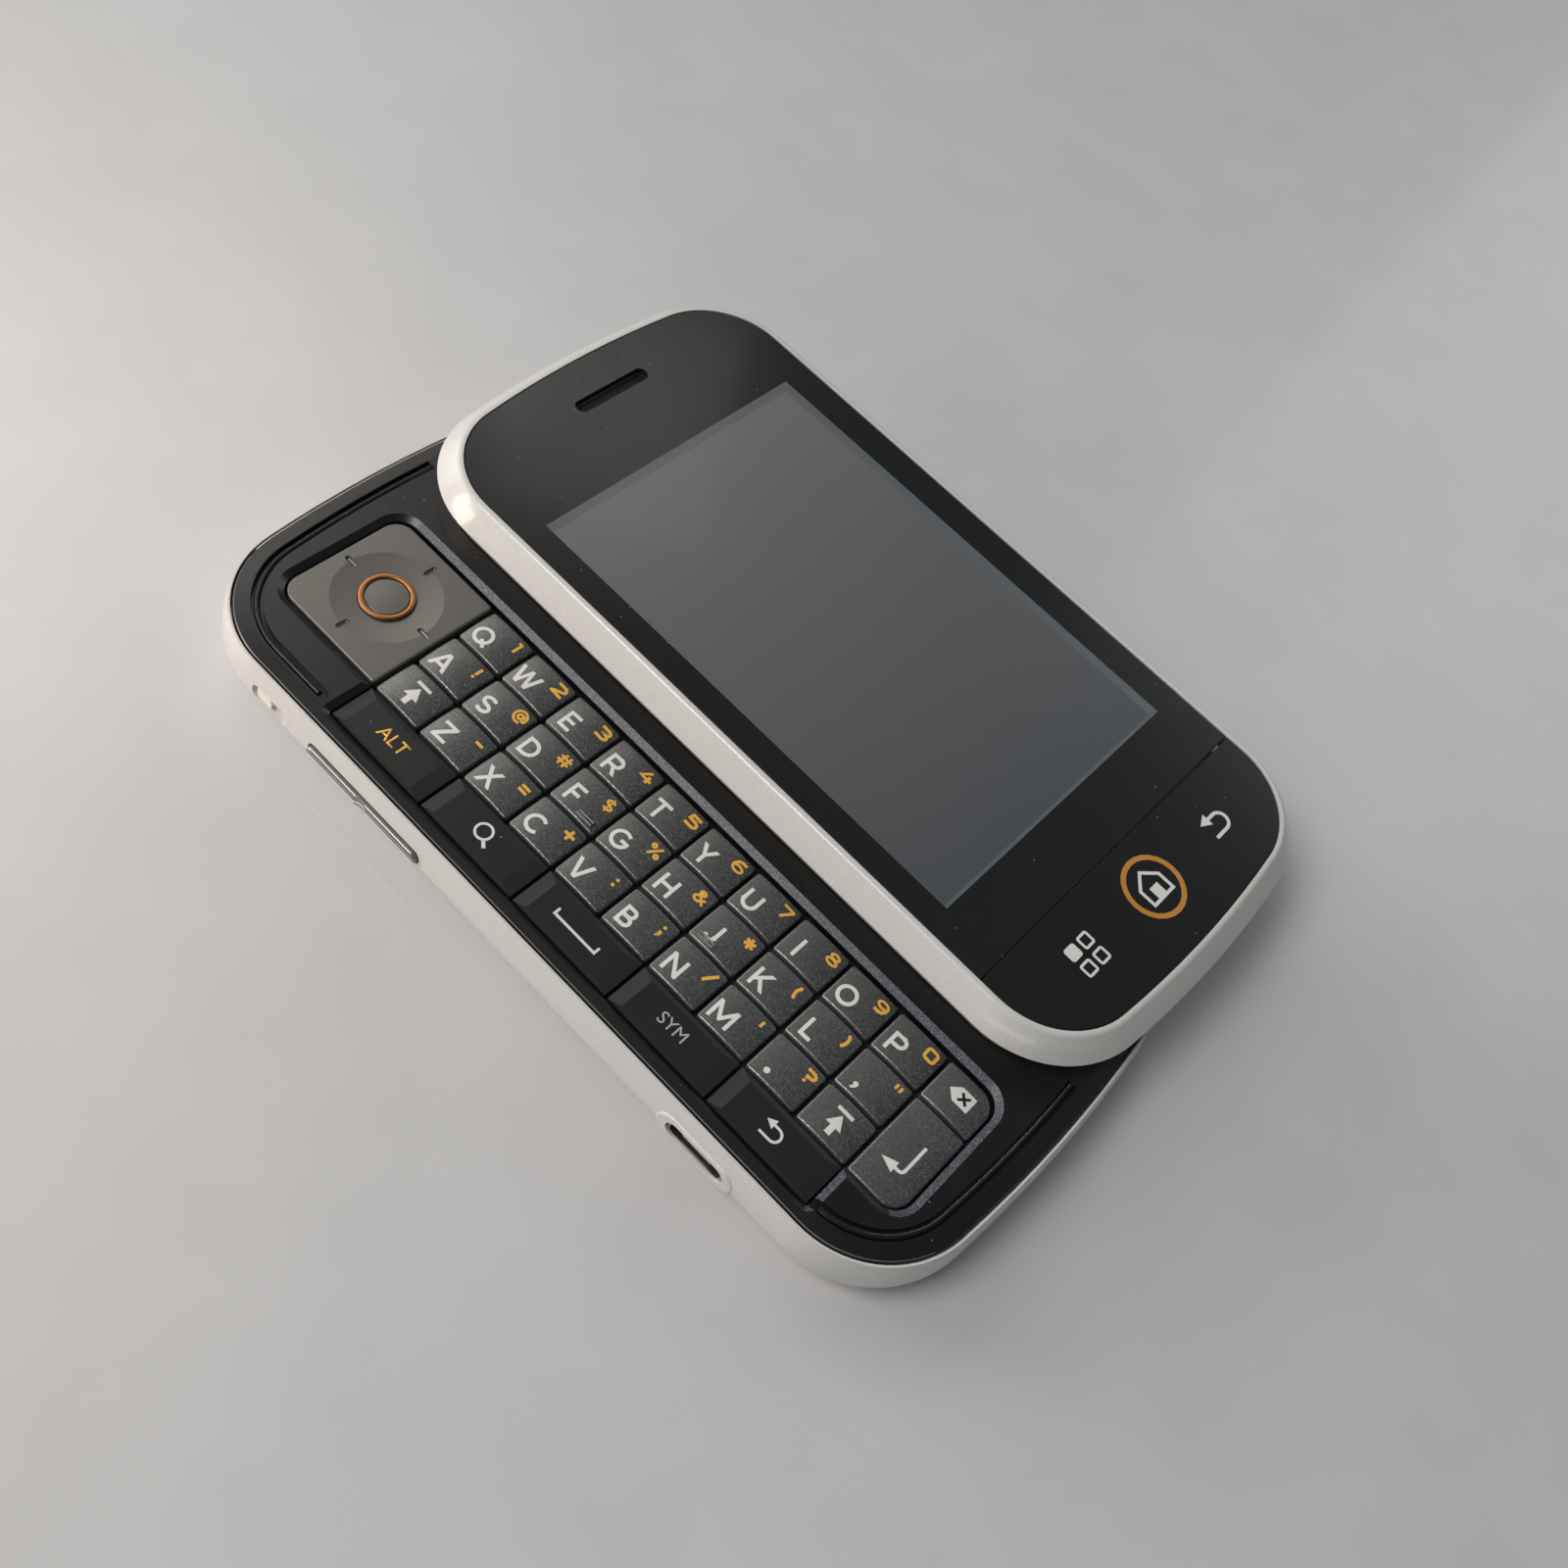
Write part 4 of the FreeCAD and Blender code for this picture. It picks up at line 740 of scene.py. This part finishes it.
sign_names = {
    "!": "exclamation", "@": "at", "#": "hash", "$": "dollar", "%": "percent",
    "&": "and", "*": "star", "(": "open_bracket", ")": "close_bracket", '"': "quote",
    "-": "dash", "=": "equals", "+": "plus", ":": "colon", ";": "semicolon",
    "/": "slash", "'": "apostrophe", "?": "question", ",": "comma", ".": "period"}
key_rows = (
    ("QWERTYUIOP", "1234567890", 0), ("ASDFGHJKL,", '!@#$%&*()"', 0),
    ("ZXCVBNM.", "-=+:;/'?", 1))
letter_across = 0.00217
letter_down = 0.00498
letter_height = 0.00258
letter_line = 0.175
second_across = 0.00572
second_down = 0.00260
second_height = 0.00172
second_line = 0.225
for row_index, (capitals, seconds, offset) in enumerate(key_rows):
    row_line = first_row - row_index * row_pitch
    for index, (capital, second) in enumerate(zip(capitals, seconds)):
        key = sign_names.get(capital, capital.lower())
        node = "key_" + key
        column_line = first_column + (index + offset) * column_pitch
        paint(shaded_grey_lacquer, node)
        main = sign_mark(capital, column_line + letter_across, row_line - letter_down,
                         letter_height, letter_line)
        press_on(main, node, "letter_" + key, white_print)
        extra = sign_mark(second, column_line + second_across, row_line - second_down,
                          second_height, second_line)
        press_on(extra, node, "sign_" + sign_names.get(second, second), amber_print)

# Home bars: the two thin bars on the F and J keys, which the fingers find, carry painted
# highlights: bright lines painted along their tops.
bar_highlight_finish = detailed_finish(
    "painted bar highlight", {"Metallic": 0.6},
    {"Colour": (0.50, 0.50, 0.50, 1), "Cloud": 0.06, "Roughness": 0.3, "Grain Depth": 0.1})
third_row = first_row - 2 * row_pitch
for node, column, start in (("key_f", 3, 0.53), ("key_j", 6, 0.125)):
    bar_start = first_column + (column + start) * column_pitch
    highlight_lines = one_mark(*[
        box_mark(bar_start + 0.00010, bar_start + 0.00240,
                 third_row + height, third_row + height + 0.00016)
        for height in (0.00070, 0.00114)])
    press_on(highlight_lines, node, "home_bars_" + node, bar_highlight_finish)

# Shift, delete and enter keys: the same grey caps, printed with plain arrows that are cut
# from bars, rings and triangles.
paint(shaded_grey_lacquer, "key_shift_left", "key_shift_right", "key_delete", "key_enter")
key_middle = 0.00367
bar_half = 0.00107
bar_top = third_row - 0.00145
bar_low = third_row - 0.00190
arrow_half = 0.00105
arrow_tip = third_row - 0.00215
arrow_low = third_row - 0.00380
stem_half = 0.00037
stem_low = third_row - 0.00485
for node, column in (("key_shift_left", 0), ("key_shift_right", 9)):
    middle = first_column + column * column_pitch + key_middle
    shift_sign = one_mark(
        box_mark(middle - bar_half, middle + bar_half, bar_low, bar_top),
        polygon_mark(((middle, arrow_tip), (middle - arrow_half, arrow_low),
                      (middle + arrow_half, arrow_low))),
        box_mark(middle - stem_half, middle + stem_half, stem_low, arrow_low))
    press_on(shift_sign, node, "sign_" + node, white_print)

last_column = first_column + 10 * column_pitch
tab_left = last_column + 0.00305
tab_right = last_column + 0.00512
tab_low = first_row - 0.00385
tab_high = first_row - 0.00175
tab_middle = (tab_low + tab_high) / 2
tab_point = 0.00105
delete_tab = polygon_mark((
    (tab_left - tab_point, tab_middle), (tab_left, tab_low), (tab_right, tab_low),
    (tab_right, tab_high), (tab_left, tab_high)))
press_on(delete_tab, "key_delete", "sign_delete_tab", white_print)
cross_x = last_column + 0.00400
cross_half = 0.00055
cross_line = 0.00032
delete_cross = one_mark(*[
    stroke_mark(((cross_x - cross_half, tab_middle - rise),
                 (cross_x + cross_half, tab_middle + rise)), cross_line)
    for rise in (cross_half, -cross_half)])
press_on(delete_cross, "key_delete", "sign_delete_cross", panel_black,
         lift=2 * film_height)

second_row = first_row - row_pitch
enter_x = last_column + 0.00467
enter_y = second_row - 0.00809
enter_top = second_row - 0.00400
enter_turn = 0.00055
enter_line = 0.00038
neck_x = enter_x - 0.00100
tip_x = enter_x - 0.00290
head_half = 0.00072
enter_sign = one_mark(
    stroke_mark(((enter_x, enter_top),)
                + curve(enter_x - enter_turn, enter_y + enter_turn, enter_turn, enter_turn,
                        0, -90)
                + ((neck_x, enter_y),), enter_line),
    polygon_mark(((tip_x, enter_y), (neck_x, enter_y - head_half),
                  (neck_x, enter_y + head_half))))
press_on(enter_sign, "key_enter", "sign_enter", white_print)

# Bar keys: five long keys of gloss black acrylic with sloping ends, below the letters. They
# carry a word or a plain sign each.
black_acrylic = detailed_finish(
    "gloss black acrylic", {"Coat Weight": 0.15, "Coat Roughness": 0.12},
    {"Colour": (0.014, 0.0145, 0.0155, 1), "Cloud": 0.08, "Dust": 0.8, "Roughness": 0.36,
     "Roughness Spread": 0.08, "Grain Depth": 0.15})
grey_print = matt_print("pale grey print", (0.42, 0.42, 0.42, 1), cloud=0.08)


def dull_edges(finish, edge_roughness, edge_colour):
    """Sides and slopes of a part: rougher, in their own colour and without the coat."""
    tree = finish.node_tree
    shader = tree.nodes["Principled BSDF"].inputs
    detail = tree.nodes["detail"].outputs
    level = 0.97
    edge = calculate(tree, "LESS_THAN", part_axis(tree, "Normal", "Z"), level)
    for socket, face, side, kind in (
            ("Coat Weight", shader["Coat Weight"].default_value, 0.0, "FLOAT"),
            ("Roughness", detail["Roughness"], edge_roughness, "FLOAT"),
            ("Base Color", detail["Colour"], edge_colour, "RGBA")):
        feed(tree, shader[socket], blend(tree, edge, face, side, kind))


dull_edges(black_acrylic, edge_roughness=0.52, edge_colour=(0.014, 0.0145, 0.0155, 1))
bar_keys = ("key_alt", "key_search", "key_space", "key_symbol", "key_back")
paint(black_acrylic, *bar_keys)
bar_middle = -0.02290


def bar_key_middle(node):
    """Middle of a bar key along its row."""
    low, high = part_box(node)
    return (low.x + high.x) / 2


alt_word = letters("ALT", bar_key_middle("key_alt") - 0.0002, bar_middle - 0.00085,
                   cap_height=0.00160, weight=0.00001)
press_on(alt_word, "key_alt", "word_alt", amber_print)
symbol_word = letters("SYM", bar_key_middle("key_symbol") - 0.0003,
                      bar_middle - 0.00075, cap_height=0.00145, weight=0.0)
press_on(symbol_word, "key_symbol", "word_symbol", grey_print)

glass_x = bar_key_middle("key_search") - 0.0003
glass_y = bar_middle + 0.00010
glass_radius = 0.00115
glass_line = 0.00030
handle_line = 0.00042
search_sign = one_mark(
    polygon_mark(oval(glass_x, glass_y, glass_radius, glass_radius), glass_line),
    stroke_mark(((glass_x + 0.00078, glass_y - 0.00078),
                 (glass_x + 0.00150, glass_y - 0.00140)), handle_line))
press_on(search_sign, "key_search", "sign_search", white_print)

space_x = bar_key_middle("key_space")
space_y = bar_middle - 0.00075
space_half = 0.00320
space_inner = 0.00290
space_line = space_y + 0.00032
space_top = space_y + 0.00100
space_sign = one_mark(
    box_mark(space_x - space_half, space_x + space_half, space_y, space_line),
    box_mark(space_x - space_half, space_x - space_inner, space_line, space_top),
    box_mark(space_x + space_inner, space_x + space_half, space_line, space_top))
press_on(space_sign, "key_space", "sign_space", white_print)

back_x = bar_key_middle("key_back") - 0.0003
back_y = bar_middle - 0.0001
back_head = back_x - 0.00020
back_turn = 0.00080
back_line = 0.00030
back_sign = one_mark(
    polygon_mark(((back_x - 0.00130, back_y + 0.00060), (back_head, back_y),
                  (back_head, back_y + 0.00120))),
    stroke_mark(((back_head, back_y + 0.00060),)
                + curve(back_x + 0.00045, back_y - 0.00020, back_turn, back_turn, 90, -90)
                + ((back_x - 0.00105, back_y - 0.00100),), back_line))
press_on(back_sign, "key_back", "sign_back", white_print)

# Side keys: a volume rocker and a power key, plated and held by a flange behind the wall,
# and a white sliding switch that silences the phone, with a painted glow. The plating is
# grey at the top, then a bright painted highlight band, then a painted shadow along the foot.
# Painted glow: the switch gives off a faint cream light of its own, which lifts the shade in its
# slot.
glowing_white_moulding = detailed_finish(
    "white moulded switch with painted glow",
    {"Emission Color": (0.80, 0.74, 0.62, 1), "Emission Strength": 0.12},
    {"Colour": (0.72, 0.68, 0.60, 1), "Cloud": 0.05, "Roughness Spread": 0.08,
     "Grain Depth": 0.2})
side_key_chrome = detailed_finish(
    "chrome of the side keys with painted highlight and shadow", {"Metallic": 1.0},
    {"Colour": (0.30, 0.31, 0.29, 1), "Cloud": 0.02, "Roughness": 0.36,
     "Roughness Spread": 0.0, "Grain Depth": 0.0})
side_tree = side_key_chrome.node_tree
plating = side_tree.nodes["detail"].outputs["Colour"]
# Painted highlight band and painted shadow along the foot, set by height.
highlight_below = 0.00545
shadow_below = 0.00505
for limit, colour in ((highlight_below, (0.95, 0.95, 0.95, 1)),
                      (shadow_below, (0.06, 0.06, 0.055, 1))):
    lower = calculate(side_tree, "LESS_THAN", part_axis(side_tree, "Object", "Z"), limit)
    plating = blend(side_tree, lower, plating, colour)
feed(side_tree, side_tree.nodes["Principled BSDF"].inputs["Base Color"], plating)
paint(side_key_chrome, "volume_rocker", "power_key")
paint(glowing_white_moulding, "silent_switch")

# Slide: a stamped steel rail plate screwed to the keypad half and a steel carrier plate
# under the screen half that hooks round its rails.
slide_steel = detailed_finish(
    "stamped steel", {"Metallic": 1.0},
    {"Colour": (0.42, 0.42, 0.43, 1), "Cloud": 0.12, "Dust": 0.1, "Roughness": 0.38,
     "Roughness Spread": 0.2, "Grain Depth": 0.4})
paint(slide_steel, "slide_rail_plate", "slide_carrier_plate")

# Screen half: white lacquered cover and bezel, clipped together along a fine joint. Inside,
# below the seam between the lens and the front keys, the upward faces are painted black as
# painted shade.


def inside_area(tree, low, high):
    """Mask that is 1 within an upright rectangle of a part and 0 outside it."""
    within = [calculate(tree, "COMPARE", part_axis(tree, "Object", axis),
                        (low[axis] + high[axis]) / 2, (high[axis] - low[axis]) / 2)
              for axis in (0, 1)]
    return calculate(tree, "MULTIPLY", *within)


white_lacquer_with_painted_shade = white_lacquer.copy()
white_lacquer_with_painted_shade.name = "pearl white lacquer with painted shade"
lens_low, lens_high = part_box("screen_lens")
shade_low = Vector((lens_high.x - 0.0006, lens_low.y + 0.0004))
shade_high = Vector((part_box("front_key_panel")[0].x + 0.0006, lens_high.y - 0.0004))
shade_tree = white_lacquer_with_painted_shade.node_tree
# Painted shade: upward faces under the seam are coloured black.
painted_shade_mask = calculate(shade_tree, "MULTIPLY", part_axis(shade_tree, "Normal", "Z"),
                  inside_area(shade_tree, shade_low, shade_high), clamp=True)
painted_shade_black = (0.004, 0.004, 0.004, 1)
feed(shade_tree, shade_tree.nodes["Principled BSDF"].inputs["Base Color"],
     blend(shade_tree, painted_shade_mask, shade_tree.nodes["detail"].outputs["Colour"], painted_shade_black))
paint(white_lacquer_with_painted_shade, "top_rear_cover", "top_bezel")

# Screen panel: the grey glass of the display lies under the clear part of the lens. Its
# tone falls from left to right as a painted reflection, the whole panel has a faint painted
# glow of its own tone, and a bare grey rim runs round its lit area.
window_low = Vector((-0.0351975, 0.00731))
window_high = Vector((0.0303025, 0.05071))
lit_low = window_low + Vector((0.0010, 0.0004))
lit_high = window_high - Vector((0.0006, 0.0009))
screen_grey = detailed_finish(
    "unlit display with painted glow and reflection", {"Coat Weight": 0.2, "Emission Strength": 0.35},
    {"Cloud": 0.05, "Dust": 0.2, "Roughness": 0.30, "Roughness Spread": 0.05,
     "Grain Depth": 0.1})
# Painted reflection: the display is paler and warmer at its left end and darker at its right.
rim_grey = (0.100, 0.110, 0.120, 1)
left_sheen_grey = (0.140, 0.137, 0.141, 1)
right_sheen_grey = (0.066, 0.072, 0.080, 1)
screen_tree = screen_grey.node_tree
along = screen_tree.nodes.new("ShaderNodeMapRange")
feed(screen_tree, along.inputs["Value"], part_axis(screen_tree, "Object", "X"))
along.inputs["From Min"].default_value = lit_low.x
along.inputs["From Max"].default_value = lit_high.x
screen_detail = screen_tree.nodes["detail"]
feed(screen_tree, screen_detail.inputs["Colour"],
     blend(screen_tree, along.outputs["Result"], left_sheen_grey, right_sheen_grey))
glowing_screen_tone = blend(screen_tree, inside_area(screen_tree, lit_low, lit_high), rim_grey,
                    screen_detail.outputs["Colour"])
# Painted glow: the same tone also feeds the emission.
for socket in ("Base Color", "Emission Color"):
    feed(screen_tree, screen_tree.nodes["Principled BSDF"].inputs[socket], glowing_screen_tone)
paint(screen_grey, "lcd_module")

# Lens: one sheet of clear acrylic, printed black on its back except for the window. The
# slot for the earpiece is cut through it.
lens_black = detailed_finish(
    "clear lens printed black", {"Coat Weight": 0.3, "Coat Roughness": 0.10},
    {"Colour": (0.014, 0.0145, 0.0155, 1), "Dust": 0.6, "Roughness": 0.18,
     "Roughness Spread": 0.04, "Grain Depth": 0.02})
window_tint = 0.12
lens_tree = lens_black.node_tree
clear_part = lens_tree.nodes.new("ShaderNodeMapRange")
clear_part.inputs["To Min"].default_value = 1.0
clear_part.inputs["To Max"].default_value = window_tint
feed(lens_tree, clear_part.inputs["Value"],
     inside_area(lens_tree, window_low, window_high))
not_back = calculate(lens_tree, "GREATER_THAN", part_axis(lens_tree, "Normal", "Z"), -0.5)
feed(lens_tree, lens_tree.nodes["Principled BSDF"].inputs["Alpha"],
     calculate(lens_tree, "MULTIPLY", clear_part.outputs["Result"], not_back))
dull_edges(lens_black, edge_roughness=0.8, edge_colour=(0.002, 0.002, 0.002, 1))
paint(lens_black, "screen_lens")

# Front key panel: one black strip beside the lens that dips as a whole, with three printed
# signs: home in a bronze ring, menu and back. They stand upright on the phone held on end.
front_black = detailed_finish(
    "front key acrylic", {"Coat Weight": 0.3, "Coat Roughness": 0.10},
    {"Colour": (0.013, 0.013, 0.014, 1), "Dust": 0.6, "Roughness": 0.18,
     "Roughness Spread": 0.04, "Grain Depth": 0.02})
dull_edges(front_black, edge_roughness=0.8, edge_colour=(0.002, 0.002, 0.002, 1))
paint(front_black, "front_key_panel")
home_x = 0.0446
home_y = 0.0291
ring_radius = 0.00412
ring_line = 0.00066
home_ring = polygon_mark(oval(home_x, home_y, ring_radius, ring_radius), ring_line)
bronze_print = detailed_finish(
    "bronze print", {"Metallic": 0.3},
    {"Colour": (0.62, 0.275, 0.04, 1), "Roughness": 0.42, "Grain Depth": 0.2})
press_on(home_ring, "front_key_panel", "home_ring", bronze_print)
eaves_x = home_x - 0.00075
floor_x = home_x + 0.00180
house_half = 0.00210
house_line = 0.00042
house = polygon_mark((
    (home_x - 0.00250, home_y), (eaves_x, home_y - house_half),
    (floor_x, home_y - house_half), (floor_x, home_y + house_half),
    (eaves_x, home_y + house_half)), house_line)
door = box_mark(home_x - 0.00015, home_x + 0.00138, home_y - 0.00075, home_y + 0.00075)
press_on(one_mark(house, door), "front_key_panel", "sign_home", white_print)

menu_x = (0.0424, 0.0448)
menu_y = (0.0137, 0.0161)
menu_side = 0.00180
menu_line = 0.00032
menu_corner = 0.00035
squares = []
for column, square_x in enumerate(menu_x):
    for line, square_y in enumerate(menu_y):
        outline = 0.0 if (column, line) == (0, 0) else menu_line
        squares.append(box_mark(
            square_x, square_x + menu_side, square_y, square_y + menu_side,
            outline, menu_corner))
press_on(one_mark(*squares), "front_key_panel", "sign_menu", white_print)

hook_x = 0.0437
hook_y = 0.0427
hook_neck = hook_y - 0.00060
hook_turn = 0.00115
hook_line = 0.00045
hook_sign = one_mark(
    polygon_mark(((hook_x, hook_y - 0.00220), (hook_x + 0.00085, hook_neck),
                  (hook_x - 0.00085, hook_neck))),
    stroke_mark(((hook_x, hook_neck),)
                + curve(hook_x + hook_turn, hook_y + 0.00050, hook_turn, hook_turn, 180, 0)
                + ((hook_x + 2 * hook_turn, hook_y - 0.00170),), hook_line))
press_on(hook_sign, "front_key_panel", "sign_hook", white_print)

# Earpiece: black capsule behind the slot of the lens, with a woven wire mesh on its mouth
# that keeps dust out.
paint(black_plastic, "earpiece")
slot_x = -0.0461975
slot_y = 0.02901
slot_half_width = 0.00098
slot_half_length = 0.00590
wire_pitch = 0.00030
wire_width = 0.00009
wires = []
for step in range(-3, 4):
    wire_x = slot_x + step * wire_pitch
    wires.append(stroke_mark(((wire_x, slot_y - slot_half_length),
                              (wire_x, slot_y + slot_half_length)), wire_width))
for step in range(-19, 20):
    wire_y = slot_y + step * wire_pitch
    wires.append(stroke_mark(((slot_x - slot_half_width, wire_y),
                              (slot_x + slot_half_width, wire_y)), wire_width))
ear_mesh = one_mark(*wires)
ear_mesh.name = "earpiece_mesh"
mesh_lift = 0.00006
ear_mesh.location.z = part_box("earpiece")[1].z + mesh_lift
reshape(ear_mesh, "SOLIDIFY", thickness=0.00005)
settle(ear_mesh, black_plastic, "screen_half")
